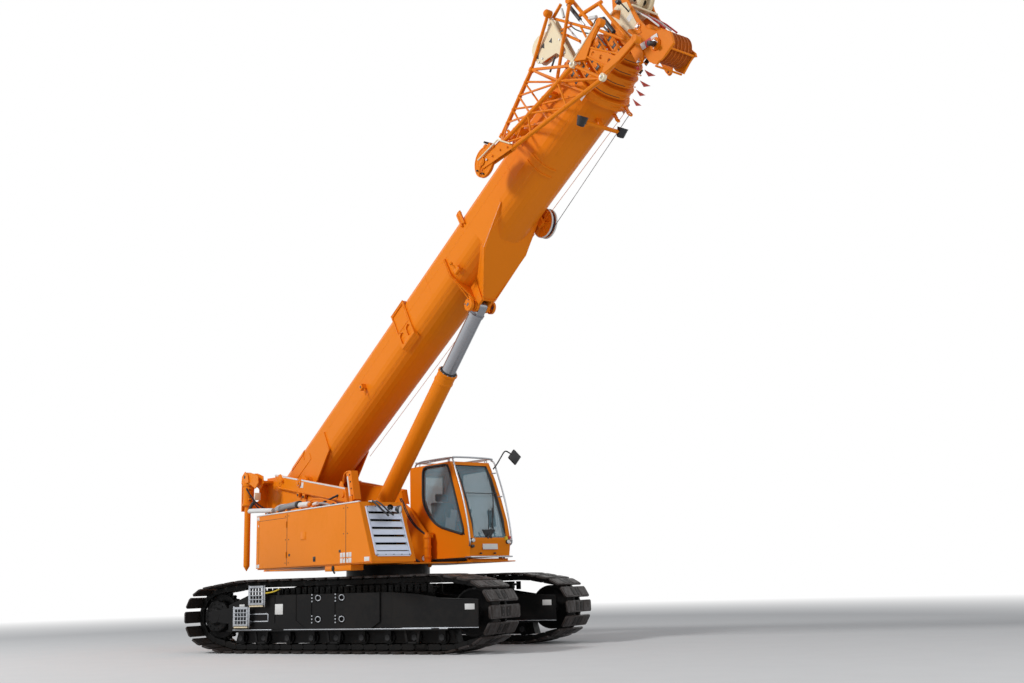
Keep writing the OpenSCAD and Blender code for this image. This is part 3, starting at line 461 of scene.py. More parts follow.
def dress_wheels():
    for name, side in SIDES:
        middle = side * TRACK_Y
        drive = Piece("final_drive_" + name, "undercarriage", black_paint, slot="black_paint")
        teeth = []
        for k in range(26):
            for lean, reach in ((-0.32, 0.352), (-0.16, 0.398), (0.16, 0.398), (0.32, 0.352)):
                turn = (k + lean) * math.tau / 26
                teeth.append((-AXLE_X + reach * math.cos(turn), AXLE_Z + reach * math.sin(turn)))
        drive.plate(teeth, middle - 0.035, middle + 0.035, ink=chain_black)
        idler = Piece("idler_face_" + name, "undercarriage", black_paint, slot="black_paint")
        for out in (-1, 1):
            face = middle + out * 0.17
            drive.lathe([(0.0, 0.085), (0.11, 0.085), (0.13, 0.07), (0.15, 0.03), (0.235, 0.025), (0.255, 0.01),
                         (0.262, -0.04), (0.0, -0.04)], (-AXLE_X, face, AXLE_Z), (0, out, 0), 36)
            drive.bolts(circle((-AXLE_X, face + out * 0.024, AXLE_Z), "y", 0.2, 14), (0, out, 0), 0.014, 0.014,
                        chain_black)
            idler.lathe([(0.352, 0.1), (0.352, 0.112), (0.33, 0.118), (0.305, 0.11), (0.29, 0.1015),
                         (0.14, 0.1015), (0.13, 0.125), (0.10, 0.14), (0.0, 0.14)],
                        (AXLE_X, middle, AXLE_Z), (0, out, 0), 40)
            idler.bolts(circle((AXLE_X, middle + out * 0.13, AXLE_Z), "y", 0.115, 8), (0, out, 0), 0.011, 0.016,
                        chain_black)
        drive.done()
        idler.done()


def dress_frames():
    for name, side in SIDES:
        trim = Piece("frame_trim_" + name, "undercarriage", black_paint, slot="black_paint")
        skin, flat, far, post = side * 1.52, side * 1.495, side * 0.97, side * 1.47

        def tab(xa, za, xb, zb, face, proud, soft, ink=None):
            trim.block((xa, face, za), (xb, face + side * proud, zb), soft, ink)

        for a, b in ((-2.02, -1.2), (-0.95, 1.84), (1.98, 2.13)):
            tab(a, 0.357, b, 0.371, skin, 0.021, 0.003, aluminium)
        for xa, za, xb, zb in ((-0.72, 0.905, -0.72, 0.505), (-0.72, 0.505, -0.55, 0.385), (-1.155, 0.47, -1.155, 0.9)):
            trim.rod((xa, skin, za), (xb, skin, zb), 0.011, 6)
        for x in (-0.26, 0.2):
            for z in (0.844, 0.519):
                tab(x - 0.06, z - 0.055, x - 0.035, z + 0.055, skin, 0.03, 0.003)
                trim.ring((x, skin + side * 0.022, z), (side * 0.3, 1, 0.1), 0.042, 0.007, 16, aluminium)
                trim.bolts([(x - 0.13, skin, z - 0.05 + k * 0.05) for k in range(3)], (0, side, 0), 0.013, 0.014,
                           aluminium)
            trim.rod((x - 0.15, skin + side * 0.004, 0.47), (x - 0.15, skin + side * 0.004, 0.9), 0.009, 6)
        # Bare plates, and the slot of the track tensioner
        tab(2.405, 0.617, 2.57, 0.704, far, -0.004, 0.0015, white_strip)
        tab(-1.92, 0.728, -1.81, 0.768, flat, 0.004, 0.0015, white_strip)
        tab(2.42, 0.63, 2.585, 0.712, skin, 0.004, 0.0015, white_strip)
        tab(-1.15, 0.60, -0.985, 0.763, skin, 0.004, 0.0015, white_strip)
        for z in (0.495, 0.61):
            tab(-2.0, z - 0.008, -1.31, z + 0.008, flat, 0.006, 0.002, aluminium)
        for x in (-2.0, -1.31):
            tab(x - 0.008, 0.495, x + 0.008, 0.61, flat, 0.006, 0.002, aluminium)
        # Roller caps, and the guards between them
        for k in range(9):
            x = -1.95 + k * 3.9 / 8
            for out in (-1, 1):
                trim.bolt((x, side * TRACK_Y + out * 0.17, 0.232), (0, out, 0), 0.05, 0.012, rubber)
            if k % 3 == 1:
                for lean in (-0.13, 0.13):
                    up, down = x + lean, x + lean * 0.7
                    trim.plate([(up - 0.02, 0.36), (up + 0.02, 0.36), (down + 0.02, 0.15), (down - 0.02, 0.15)],
                               post - 0.012, post + 0.012)
                trim.block((x - 0.11, post - 0.012, 0.14), (x + 0.11, post + 0.012, 0.17), 0.004)
        trim.done()

    for name, side in SIDES:
        guard = Piece("front_guards_" + name, "undercarriage", black_paint, slot="black_paint")
        outline = [(1.14, 0.372), (2.65, 0.372), (2.655, 0.778), (2.0, 0.806), (1.6, 0.868), (1.14, 0.903)]
        for face, inward, start in ((1.52, 1, 1.32), (0.97, -1, 1.14)):
            guard.plate(outline, side * face, side * (face - inward * 0.012), soft=0.003)
            rim = side * (face + inward * 0.003)
            guard.block((start, rim - 0.004, 0.37), (2.65, rim + 0.004, 0.38), 0.002, aluminium)
            guard.bead([(2.645, rim, 0.39), (2.65, rim, 0.77), (2.0, rim, 0.8)], 0.006)
        # Dark plates along the track's middle, painted shade filling the gaps above and below the frame, and hanging
        # links between the frame and the chain's upper run
        middle = side * TRACK_Y
        guard.plate([(-1.58, 0.74), (1.72, 0.74), (1.72, 0.94), (1.2, 1.012), (-1.2, 1.012), (-1.58, 0.96)],
                    middle - 0.02, middle + 0.02, ink=chain_black)
        # Painted shade: a dark plate fills the gaps between the rollers under the frame
        guard.plate([(-2.12, 0.15), (2.16, 0.15), (2.1, 0.37), (-2.05, 0.37)], middle - 0.1, middle + 0.1,
                    ink=chain_black)
        for k in range(28):
            x = -1.5 + k * 0.12
            for y in (middle - 0.135, middle + 0.135):
                guard.block((x - 0.042, y - 0.012, 0.9 - 0.02 * (k % 2)), (x + 0.042, y + 0.012, 1.016), 0.006,
                            chain_black)
            guard.rod((x, middle - 0.16, 0.965), (x, middle + 0.16, 0.965), 0.018, 8,
                      black_paint if k % 2 else chain_black)
        guard.done()

    bar = Piece("step_bar", "undercarriage", yellow_paint, slot="grey_paint")
    bar.hose([(-1.34, -1.56, 0.94), (-1.2, -1.56, 0.945), (-1.06, -1.56, 0.985), (-1.05, -1.53, 1.0)], 0.011)
    bar.block((-1.07, -1.56, 0.955), (-1.03, -1.497, 0.905), 0.004, black_paint)
    bar.done()
    steps = Piece("step_frames", "undercarriage", aluminium, slot="step_alu")
    near = -TRACK_Y - 0.345
    for x, z in ((-1.64, 0.76), (-1.96, 0.43)):
        for end in (x - 0.012, x + 0.312):
            steps.rod((end, near + 0.02, z - 0.03), (end, near + 0.02, z + 0.31), 0.014, 10, soft=0.002)
            steps.bolt((end, near + 0.005, z - 0.02), (0, -1, 0), 0.014, 0.01, track_steel)
        steps.rod((x - 0.02, near + 0.02, z - 0.022), (x + 0.32, near + 0.02, z - 0.022), 0.013, 10, ivory)
        for row in range(5):
            height = z + 0.02 + row * 0.062
            steps.rod((x, near - 0.002, height), (x + 0.3, near - 0.002, height), 0.006, 6)
    steps.done()
    well = Piece("carbody_trim", "undercarriage", black_paint, slot="black_paint")
    well.bolts(circle((0, 0, 0.898), "z", 0.735, 36), UP, 0.016, 0.022, chain_black)
    for side in (-1, 1):
        for x in (-0.52, 0.52):
            well.rod((x, side * 0.82, 0.66), (x, side * 0.86, 0.66), 0.09, 20, soft=0.006)
            well.bolt((x, side * 0.86, 0.66), (0, side, 0), 0.04, 0.02, chain_black)
        well.hose([(-0.78, side * 0.3, 0.62), (-1.1, side * 0.5, 0.5), (-1.5, side * 0.8, 0.52),
                   (-1.9, side * 0.98, 0.6)], 0.02, chain_black)
    well.done()


# Engine housing and platform, in the superstructure's own frame
HOOD_Y, HOOD_TOP, DECK_TOP = -1.5, 2.258, 1.353
WALL_Y, POST_X, DRUM_X, DRUM_Z = 0.62, -3.48, -3.36, 1.86


def hood_nose(z):
    return 2.04 - 0.385 * (z - DECK_TOP) / 0.905


def dress_hood():
    trim = Piece("hood_trim", "superstructure", orange_paint, ON_SLEW)

    def wall(proud, soft, ink, *rows, sunk=0.004):
        for xa, za, xb, zb in rows:
            trim.block((xa, HOOD_Y - proud, za), (xb, HOOD_Y + sunk, zb), soft, ink)

    # Side: door seams, edge strips, latches, the round lock and its flap, and bare plates
    wall(0.0015, 0, rubber, (-0.771, 1.375, -0.759, 2.235), (1.25, 1.375, 1.262, 2.235))
    wall(0.0012, 0, rubber, (-1.863, 2.162, -0.787, 2.168), (-1.863, 1.382, -1.857, 2.168), sunk=0.003)
    edge = (HOOD_TOP - 0.006, HOOD_TOP + 0.014)
    wall(0.012, 0.004, white_strip, (-1.95, edge[0], 1.27, edge[1]), (1.28, edge[0], 1.655, edge[1]), sunk=0.03)
    wall(0.006, 0.004, lamp_black, (-0.698, 1.525, -0.642, 1.565), (1.037, 1.522, 1.093, 1.562))
    wall(0.008, 0.006, lamp_black, (0.185, 1.41, 0.265, 1.49))
    wall(0.016, 0.005, rubber, (0.2, 1.43, 0.25, 1.462), sunk=-0.006)
    wall(0.006, 0.006, None, (-0.26, 1.765, -0.075, 1.9))
    wall(0.012, 0.003, None, (-0.24, 1.78, -0.095, 1.8), sunk=-0.005)
    wall(0.003, 0.0012, white_strip, (1.82, 1.365, 1.97, 1.43), (-1.94, 1.365, -1.83, 1.425),
         (-1.94, 2.18, -1.85, 2.24), (-1.9, 2.07, -1.87, 2.1),
         *[(x, z, x + 0.07, z + 0.07) for x in (1.08, 1.165, 1.275, 1.36) for z in (1.36, 1.445)], sunk=0.003)
    trim.bolts([(x, HOOD_Y + 0.001, z) for x in (-1.9, -0.82, -0.7, 1.19, 1.31) for z in (1.42, 1.8, 2.19)],
               (0, -1, 0), 0.009, 0.006, lamp_black)
    for z in (1.55, 2.05):
        trim.rod((-0.78, HOOD_Y - 0.008, z - 0.05), (-0.78, HOOD_Y - 0.008, z + 0.05), 0.01, 8)
    # Rear wall: two doors with their handles and an air grille
    trim.block((-1.964, -1.124, 1.39), (-1.958, -1.116, 2.2), ink=rubber)
    for y in (-1.16, -1.08):
        trim.block((-1.972, y - 0.02, 1.72), (-1.956, y + 0.02, 1.84), 0.005, lamp_black)
    for k in range(7):
        trim.block((-1.966, -1.44, 1.95 + k * 0.03), (-1.957, -1.18, 1.965 + k * 0.03), 0.003, lamp_black)
    # Roof: grille over the radiator and the exhaust's round cover
    for k in range(16):
        trim.block((-1.75 + k * 0.06, -1.4, HOOD_TOP - 0.002), (-1.72 + k * 0.06, -0.85, HOOD_TOP + 0.012), 0.003,
                   lamp_black)
    trim.lathe([(0.0, 0.03), (0.1, 0.03), (0.115, 0.02), (0.12, 0.0), (0.12, -0.005)], (0.7, -1.05, HOOD_TOP), UP)
    # Front: corner trims beside the louvres and a bare plate
    low, high = DECK_TOP + 0.01, HOOD_TOP - 0.01
    for y in (-1.495, -0.745):
        trim.rod((hood_nose(low) - 0.004, y, low), (hood_nose(high) - 0.004, y, high), 0.012, 10)
    trim.block((2.0, -0.86, 1.375), (2.012, -0.79, 1.4), 0.002, white_strip,
               turned("Y", -math.degrees(math.atan2(0.385, 0.905))))
    trim.done()

    face = Piece("louvre_frame", "superstructure", louvre_silver, ON_SLEW, slot="step_alu")
    low, high = DECK_TOP + 0.09, DECK_TOP + 0.835
    def on_front(z, y, off): return (hood_nose(z) + off * 0.92, y, z + off * 0.39)
    for y in (-1.4, -0.81):
        face.bead([on_front(low + 0.01, y, 0.004), on_front(high - 0.01, y, 0.004)], 0.016)
    for z in (low + 0.008, high - 0.008):
        face.bead([on_front(z, -1.4, 0.004), on_front(z, -0.81, 0.004)], 0.014)
        face.bolts([on_front(z, -1.38 + k * 0.1375, 0.014) for k in range(5)], (0.92, 0, 0.39), 0.008, 0.006,
                   black_paint)
    for k in range(7):
        z = low + (0.745 / 6.3 * (k - 0.1) if k else 0.02)
        face.plate([on_front(z + rise, 0, off)[::2] for rise, off in
                    ((-0.036, 0.006), (-0.036, 0.012), (0.036, 0.012), (0.036, 0.006))], -1.385, -0.825)
    # Black plate behind the louvre blades: painted shade seen through the slots
    face.block((1.55, -1.39, 1.46), (1.56, -0.83, 2.17), ink=black_paint, turn=turned("Y", -23.0))
    face.done()

    arm = Piece("folded_work_lamp", "superstructure", lamp_black, ON_SLEW, slot="lamp_plastic")
    arm.block((1.64, -1.33, 2.25), (1.7, -1.22, 2.275), 0.006, aluminium)
    arm.hose([(1.68, -1.28, 2.27), (1.76, -1.28, 2.24), (1.87, -1.22, 2.12), (1.93, -1.14, 2.03)], 0.016)
    arm.hose([(1.7, -1.22, 2.27), (1.8, -1.18, 2.21), (1.88, -1.12, 2.1), (1.94, -1.06, 2.04)], 0.013)
    for profile, ink in (([(0.0, -0.05), (0.035, -0.045), (0.058, -0.01), (0.062, 0.025), (0.055, 0.03)], None),
                         ([(0.0, 0.02), (0.054, 0.024)], lens_white)):
        arm.lathe(profile, (1.92, -0.96, 2.13), (0.8, 0.5, -0.1), 22, ink)
    arm.lathe([(0.0, -0.03), (0.03, -0.028), (0.045, 0.0), (0.045, 0.02)], (1.87, -1.08, 2.16), (0.7, -0.3, 0.2), 20)
    arm.hose([(1.9, -1.1, 2.12), (1.93, -1.0, 2.08), (1.93, -0.94, 2.1)], 0.01, aluminium)
    arm.done()


def dress_pipes():
    pipes = Piece("pipes_on_housing", "superstructure", aluminium, ON_SLEW, slot="step_alu")
    for points, radius, ink in (
            ([(-2.8, -1.26, 2.41), (-2.6, -1.3, 2.405), (-1.9, -1.3, 2.362), (-1.72, -1.3, 2.35)], 0.042, white_strip),
            ([(-1.9, -1.22, 2.33), (-1.75, -1.22, 2.41), (-1.5, -1.2, 2.43), (-1.2, -1.2, 2.4)], 0.03, aluminium),
            ([(-2.78, -1.25, 2.41), (-2.9, -1.22, 2.42), (-2.93, -1.18, 2.52), (-2.86, -1.15, 2.58)], 0.03, rubber),
            ([(-1.6, -1.28, 2.34), (-1.42, -1.3, 2.362), (-1.0, -1.3, 2.385), (-0.78, -1.3, 2.39)], 0.052, hose_grey),
            ([(-0.52, -1.24, 2.26), (-0.5, -1.25, 2.4), (-0.3, -1.27, 2.45), (-0.06, -1.28, 2.44),
              (0.2, -1.28, 2.39), (0.46, -1.25, 2.34), (0.52, -1.2, 2.255)], 0.012, orange_paint),
            ([(-0.3, -1.0, 2.26), (-0.2, -1.0, 2.36), (0.1, -0.95, 2.36), (0.3, -0.9, 2.26)], 0.018, rubber),
            ([(-1.1, -0.95, 2.26), (-1.0, -0.95, 2.4), (-0.5, -0.9, 2.42), (-0.2, -0.85, 2.26)], 0.02, hose_grey),
            ([(-0.9, -0.86, 2.26), (-0.86, -0.84, 2.42), (-0.7, -0.7, 2.5), (-0.62, -0.62, 2.55)], 0.018, rubber)):
        pipes.hose(points, radius, ink)
    for start, end, radius, sides, ink, soft in (
            ((-1.95, -1.3, 2.25), (-1.95, -1.3, 2.36), 0.02, 10, aluminium, 0),
            ((-1.9, -1.3, 2.255), (-1.9, -1.3, 2.3), 0.05, 14, rubber, 0.006),
            ((-0.78, -1.3, 2.385), (-0.7, -1.3, 2.388), 0.062, 18, rubber, 0.006),
            ((-0.7, -1.3, 2.37), (-0.36, -1.3, 2.36), 0.05, 18, white_strip, 0.012),
            ((-0.36, -1.3, 2.36), (-0.28, -1.3, 2.358), 0.036, 14, orange_paint, 0.006),
            ((-0.24, -1.28, 2.35), (-0.1, -1.28, 2.362), 0.03, 14, white_strip, 0.006)):
        pipes.rod(start, end, radius, sides, ink, soft)
    for k in range(18):
        pipes.ring((-1.42 + k * 0.036, -1.3, 2.366 + k * 0.0013), (1, 0, 0.03), 0.052, 0.006, 12, hose_grey)
    for x in (-1.5, -1.15, -0.6, -0.2):
        pipes.block((x - 0.025, -1.34, HOOD_TOP - 0.004), (x + 0.025, -1.26, 2.33), 0.006, orange_paint)
    pipes.done()

    box = Piece("hose_box_trim", "superstructure", orange_paint, ON_SLEW)
    tilt = turned("Y", -14)
    place = Vector((0.04, -0.76, 2.38))
    box.plate([(0.006, 0.06), (0.05, 0.06), (0.05, 0.44), (0.006, 0.44)], -0.004, 0.004, soft=0.0015, ink=white_strip)
    box.whole.transform(Matrix.Translation(place) @ tilt.to_4x4())
    box.hose([(-0.36, -0.66, 2.72), (-0.33, -0.68, 2.84), (-0.2, -0.7, 2.91), (0.0, -0.7, 2.9), (0.06, -0.7, 2.86)],
            0.014)
    box.rod((-0.02, -0.69, 2.84), (0.03, -0.69, 2.87), 0.035, ink=rubber, soft=0.006)
    box.bolts([place + tilt @ Vector((0.11, 0.001, z)) for z in (0.08, 0.2, 0.32, 0.44)], (0, -1, 0), 0.012, 0.012,
              rubber)
    box.done()


def dress_beams():
    beam = Piece("beam_trim", "superstructure", orange_paint, ON_SLEW)
    for side in (-1, 1):
        y, out = side * WALL_Y, (0, side, 0)
        # The left beam's strips end short of the cab, which tilts back over them
        start, end = Vector((-3.12, 3.133)), Vector((-0.38, 2.659))
        if side > 0:
            end = start.lerp(end, 0.6)
        drop = Vector((0.003, -0.028))
        beam.plate([start, end, end + drop, start + drop], y, y + side * 0.004, ink=white_strip)
        low = (-0.33, 2.416) if side < 0 else (-1.422, 2.605)
        beam.bead([(-3.06, y, 2.888), (low[0], y, low[1])], 0.009)
        if side < 0:
            beam.plate([(-0.66, 2.7), (-0.5, 2.672), (-0.55, 2.77), (-0.585, 2.79), (-0.615, 2.77)],
                       y + 0.03, y + 0.055, soft=0.004)
            beam.ring((-0.585, y + 0.042, 2.755), (0, 1, 0), 0.02, 0.012, 14, lamp_black)
            beam.lathe([(0.0, 0.02), (0.05, 0.02), (0.06, 0.0)], (-0.45, y, 2.55), out, 18)
        for profile, x, z, steps in (
                ([(0.0, 0.045), (0.035, 0.045), (0.04, 0.03), (0.075, 0.028), (0.08, 0.0)], -2.086, 2.888, 28),
                ([(0.0, 0.03), (0.06, 0.03), (0.075, 0.015), (0.11, 0.012), (0.12, 0.0)], -2.9, 3.0, 24),
                ([(0.0, 0.05), (0.03, 0.05), (0.034, 0.0)], -2.76, 2.98, 18)):
            beam.lathe(profile, (x, y, z), out, steps)
        beam.bolts(circle((-2.086, y + side * 0.026, 2.888), "y", 0.058, 6), out, 0.008, 0.01, aluminium)
        for x, z in ((-2.15, 2.69), (-1.93, 2.64)):
            beam.plate([(x - 0.06, z + 0.08), (x + 0.06, z + 0.06), (x + 0.035, z - 0.06), (x - 0.035, z - 0.06)],
                       y, y - side * 0.05, soft=0.006)
            beam.rod((x, y - side * 0.06, z - 0.02), (x, y + side * 0.012, z - 0.02), 0.022, 12, lamp_black, 0.003)
        beam.block((-2.07, y, 2.79), (-1.93, y + side * 0.003, 2.89), 0.001, white_strip, turned("Y", 10))
    beam.done()

    rear = Piece("bracket_trim", "superstructure", orange_paint, ON_SLEW)
    cap = [(-3.625, 2.98), (-3.3, 2.98), (-3.345, 3.125), (-3.47, 3.205), (-3.6, 3.125)]
    hook = [(-3.6, 2.985), (-3.46, 3.17), (-3.2, 3.15), (-2.96, 3.08), (-2.93, 2.95), (-3.06, 2.85), (-3.28, 2.94),
            (-3.4, 2.965)]
    for side in (-1, 1):
        y = side * 1.0
        rear.lathe([(0.088, 0.0), (0.1, 0.0), (0.1, -0.035), (0.093, -0.045), (0.088, -0.045)], (POST_X, y, 2.6), UP,
                26)
        rear.lathe([(0.088, 0.0), (0.1, 0.0), (0.1, -0.05), (0.088, -0.05)], (POST_X, y, 2.98), UP, 26)
        for z in (2.68, 2.88):
            rear.block((-3.4, y - 0.035, z - 0.02), (-3.365, y + 0.035, z + 0.02), 0.005)
            rear.rod((-3.39, y, z - 0.035), (-3.39, y, z + 0.035), 0.016, 10, rubber)
        rear.rod((-3.47, y - 0.085, 3.1), (-3.47, y + 0.085, 3.1), 0.03, ink=lamp_black, soft=0.004)
        for outline, near, far, soft in ((cap, 0.06, 0.078, 0.004), (hook, -0.05, -0.075, 0.006),
                (hook, 0.03, 0.05, 0.006)):
            rear.plate(outline, y + side * near, y + side * far, soft=soft)
        rear.hose([(-3.4, y + 0.07, 2.7), (-3.34, y + 0.05, 2.6), (-3.3, side * 0.8, 2.45), (-3.3, side * 0.62, 2.4)],
                  0.014, rubber)
        rear.hose([(-3.4, y - 0.07, 2.88), (-3.32, y, 2.7), (-3.28, side * 0.82, 2.52), (-3.28, side * 0.62, 2.45)],
                  0.014, rubber)
        rear.lathe([(0.0, 0.03), (0.03, 0.028), (0.035, 0.0)], (-3.61, side * 0.9, 3.0), (-1, 0, 0), 16, red_plastic)
    rear.block((-3.36, -0.92, 2.66), (-3.35, -0.8, 2.8), 0.002, ivory)
    rear.done()

    drum = Piece("hoist_rope_and_flanges", "winch", rope_steel, ON_SLEW, slot="grey_paint")
    for k in range(33):
        drum.ring((DRUM_X, -0.345 + k * 0.0215, DRUM_Z), (0, 1, 0), 0.212, 0.0105, 30)
    for side in (-1, 1):
        drum.lathe([(0.262, 0.0), (0.272, 0.004), (0.272, 0.03), (0.262, 0.034), (0.2, 0.02), (0.15, 0.02),
                    (0.09, 0.06), (0.0, 0.06)], (DRUM_X, side * 0.37, DRUM_Z), (0, side, 0), 36, orange_paint)
        drum.bolts(circle((DRUM_X, side * 0.39, DRUM_Z), "y", 0.18, 10), (0, side, 0), 0.013, 0.014, black_paint)
    drum.done()

    deck = Piece("platform_details", "superstructure", orange_paint, ON_SLEW)
    deck.block((0.52, -1.47, 1.245), (1.36, -1.25, 1.331), 0.008)
    deck.rod((0.8, -1.48, 1.285), (0.8, -1.45, 1.285), 0.045, 16, black_paint, 0.005)
    deck.hose([(0.8, -1.46, 1.26), (0.79, -1.46, 1.225), (0.815, -1.45, 1.215)], 0.014, rubber)
    # Upright pipe beside the cab with its clamps, the lamp below it and the two hoses over the wall
    deck.rod((0.47, 0.49, 1.285), (0.47, 0.49, 1.83), 0.058, 22, soft=0.006)
    for z in (1.32, 1.46, 1.62, 1.78):
        deck.lathe([(0.057, -0.018), (0.068, -0.014), (0.068, 0.014), (0.057, 0.018)], (0.47, 0.49, z), UP, 24)
    deck.block((0.43, 0.46, 1.82), (0.51, 0.6, 1.86), 0.006)
    deck.lathe([(0.0, -0.03), (0.045, -0.03), (0.05, 0.0), (0.042, 0.008)], (0.34, 0.5, 1.44), (0.35, -0.9, 0), 22,
            rubber)
    deck.lathe([(0.0, 0.0), (0.04, 0.004)], (0.34, 0.5, 1.44), (0.35, -0.9, 0), 22, lens_white)
    for off in (0.0, 0.05):
        deck.hose([(-0.42 + off, 0.5, 2.5), (-0.32 + off, 0.5, 2.37), (-0.12 + off, 0.5, 2.12), (0.14 + off, 0.5, 1.93),
                   (0.5, 0.5, 1.79)], 0.013, rubber)
    for side in (-1, 1):
        deck.block((-1.02, side * 0.245 - 0.028, 1.353), (-0.74, side * 0.245 + 0.028, 1.4), 0.006)
        deck.lathe([(0.0, 0.02), (0.075, 0.02), (0.085, 0.0)], (-0.88, side * 0.236, 1.65), (0, side, 0), 24,
                black_paint)
        deck.hose([(x, side * y, z) for x, y, z in ((0.5, 0.3, 1.37), (0.2, 0.32, 1.5), (-0.3, 0.33, 1.42),
                                                    (-0.8, 0.36, 1.4), (-1.5, 0.38, 1.5))], 0.022, rubber)
    deck.bolts(circle((0, 0, 1.307), "z", 0.655, 36), UP, 0.015, 0.026, black_paint)
    deck.done()

    tank = Piece("tank_trim", "superstructure", orange_paint, ON_SLEW)
    for x in (-2.32, -1.64):
        tank.block((x - 0.005, 1.397, 1.38), (x + 0.005, 1.4025, 2.21), ink=rubber)
        for z in (1.5, 2.08):
            tank.block((x + 0.05, 1.397, z - 0.03), (x + 0.08, 1.409, z + 0.03), 0.004, lamp_black)
    tank.block((-2.97, 1.396, 2.205), (-0.98, 1.4025, 2.212), ink=rubber)
    for x in (-2.7, -1.3):
        tank.lathe([(0.0, 0.05), (0.06, 0.05), (0.07, 0.04), (0.07, 0.0)], (x, 1.0, 2.233), UP, 24, lamp_black)
    for k in range(9):
        tank.block((-2.4 + k * 0.06, 0.8, 2.231), (-2.37 + k * 0.06, 1.25, 2.243), 0.003, lamp_black)
    for x, end in ((-2.9, -2.78), (-1.05, -1.17)):
        tank.bead([(x, 1.3, 2.232), (x, 1.3, 2.31), (end, 1.3, 2.31), (end, 1.3, 2.232)], 0.012, 3, aluminium)
    tank.block((-2.993, 0.7, 1.4), (-2.985, 1.34, 2.18), 0.003)
    for k in range(8):
        tank.block((-2.998, 0.8, 1.9 + k * 0.03), (-2.988, 1.24, 1.915 + k * 0.03), 0.003, lamp_black)
    tank.done()


# Cab, in the superstructure's own frame
CAB_LOW = 1.418


def from_cab(points):
    return [(x, CAB_LOW + z) for x, z in points]


def at_y(y, points):
    return [(x, y, z) for x, z in points]


def dress_cab():
    z0 = CAB_LOW
    seal = Piece("window_seals", "cab", rubber, ON_SLEW, slot="lamp_plastic")
    # Side window: one loop of rubber with black corners
    window = from_cab([(0.13, 1.018), (0.225, 0.84), (0.43, 0.64), (0.653, 0.527), (1.388, 0.358), (0.925, 1.56),
                       (0.145, 1.575)])
    arcs = corner_arcs(window, 0.13)
    for spot, arc in zip(window, arcs):
        seal.plate([spot] + arc, 0.6195, 0.6225)
    loop = [spot for arc in arcs for spot in arc]
    seal.bead(at_y(0.621, loop + loop[:1]), 0.021)
    # Windscreen
    screen = [(x - 0.002, z) for x, z in from_cab([(1.485, 0.31), (1.462, 0.58), (1.322, 0.93), (1.152, 1.3),
            (0.985, 1.545)])]
    for y in (0.708, 1.347):
        seal.bead(at_y(y, screen), 0.022)
    for x, z in (screen[0], screen[-1]):
        seal.bead([(x, 0.708, z), (x, 1.347, z)], 0.022)
    # Rear window
    seal.hose([(-0.21, 0.735, z0 + 0.7), (-0.24, 0.735, z0 + 0.7)], 0.008)
    low, high = z0 + 0.71, z0 + 1.465
    for ya, za, yb, zb in ((0.735, low, 1.32, low), (0.735, high, 1.32, high), (0.735, low, 0.735, high),
                           (1.32, low, 1.32, high)):
        seal.rod((-0.282, ya, za), (-0.282, yb, zb), 0.012, 8)
    seal.done()

    lip = Piece("door_seal", "door", rubber, ON_SLEW, slot="lamp_plastic")
    door = from_cab([(0.14, 0.12), (1.31, 0.12), (1.32, 0.33), (1.22, 0.72), (1.03, 1.12), (0.88, 1.48), (0.14, 1.48)])
    lip.bead(at_y(1.4625, door + door[:1]), 0.012)
    lip.block((0.1, 1.4615, z0 + 0.62), (0.24, 1.468, z0 + 0.7), 0.003, lamp_black)
    lip.hose([(0.12, 1.462, z0 + 0.66), (0.12, 1.485, z0 + 0.66), (0.22, 1.485, z0 + 0.66), (0.22, 1.462, z0 + 0.66)],
             0.009, aluminium)
    lip.done()

    rails = Piece("cab_handrails", "cab", aluminium, ON_SLEW, slot="step_alu")
    for y, sign in ((0.6, -1), (1.45, 1)):
        rails.hose([(1.06, y - sign * 0.03, 3.05)] + at_y(y,
                [(1.1, 3.06), (1.2, 2.83), (1.38, 2.42), (1.5, 2.02), (1.555, 1.72), (1.56, 1.62)])
                   + [(1.5, y - sign * 0.03, 1.6)], 0.0145)
        rails.bead([(1.5, y - sign * 0.06, 1.68), (1.57, y, 1.68)], 0.02)
        for z, x in ((2.42, 1.355), (2.83, 1.185)):
            rails.rod((x, y - sign * 0.02, z), (x - 0.06, y - sign * 0.07, z), 0.011, 8)
    for y in (0.64, 1.41):
        rails.hose(at_y(y, [(-0.13, 3.025), (-0.12, 3.1), (0.4, 3.1), (1.0, 3.09), (1.08, 3.07)]), 0.015)
        for x in (0.35, 0.95):
            rails.rod((x, y, 3.02), (x, y, 3.1), 0.01, 8)
    rails.hose([(1.07, 0.62, 3.082), (1.09, 0.7, 3.088), (1.09, 1.36, 3.088), (1.07, 1.44, 3.075)], 0.016)
    rails.hose([(-0.12, 0.64, 3.1), (-0.14, 0.7, 3.1), (-0.14, 1.36, 3.1), (-0.12, 1.41, 3.1)], 0.015)
    rails.done()

    front = Piece("wipers_and_lamps", "cab", lamp_black, ON_SLEW, slot="lamp_plastic")
    front.plate([(0.86, 1.86), (1.14, 1.86), (1.05, 1.74), (1.02, 1.69), (0.98, 1.69), (0.95, 1.74)], 1.512, 1.524, "x",
                0.003, turn=turned("Y", 10), about=(1.515, 1.0, 1.78))
    front.hose([(1.53, 1.0, 1.74), (1.53, 1.06, 1.86), (1.475, 1.14, 2.1), (1.40, 1.2, 2.3)], 0.01)
    front.hose([(1.53, 0.99, 1.74), (1.525, 1.01, 1.95), (1.46, 1.06, 2.2)], 0.008)
    front.hose([(1.478, 1.14, 2.06), (1.41, 1.2, 2.26), (1.3, 1.26, 2.52), (1.19, 1.29, 2.74), (1.1, 1.31, 2.9)], 0.009,
            rubber)
    front.hose([(1.515, 1.1, 1.84), (1.485, 1.12, 2.02), (1.42, 1.16, 2.22)], 0.009, rubber)
    front.block((1.3, 0.71, 2.462), (1.325, 1.345, 2.475), 0.004)
    # Bare plate on the nose
    front.block((1.536, 0.865, 1.537), (1.548, 1.165, 1.628), 0.003, white_strip, turned("Y", -6))
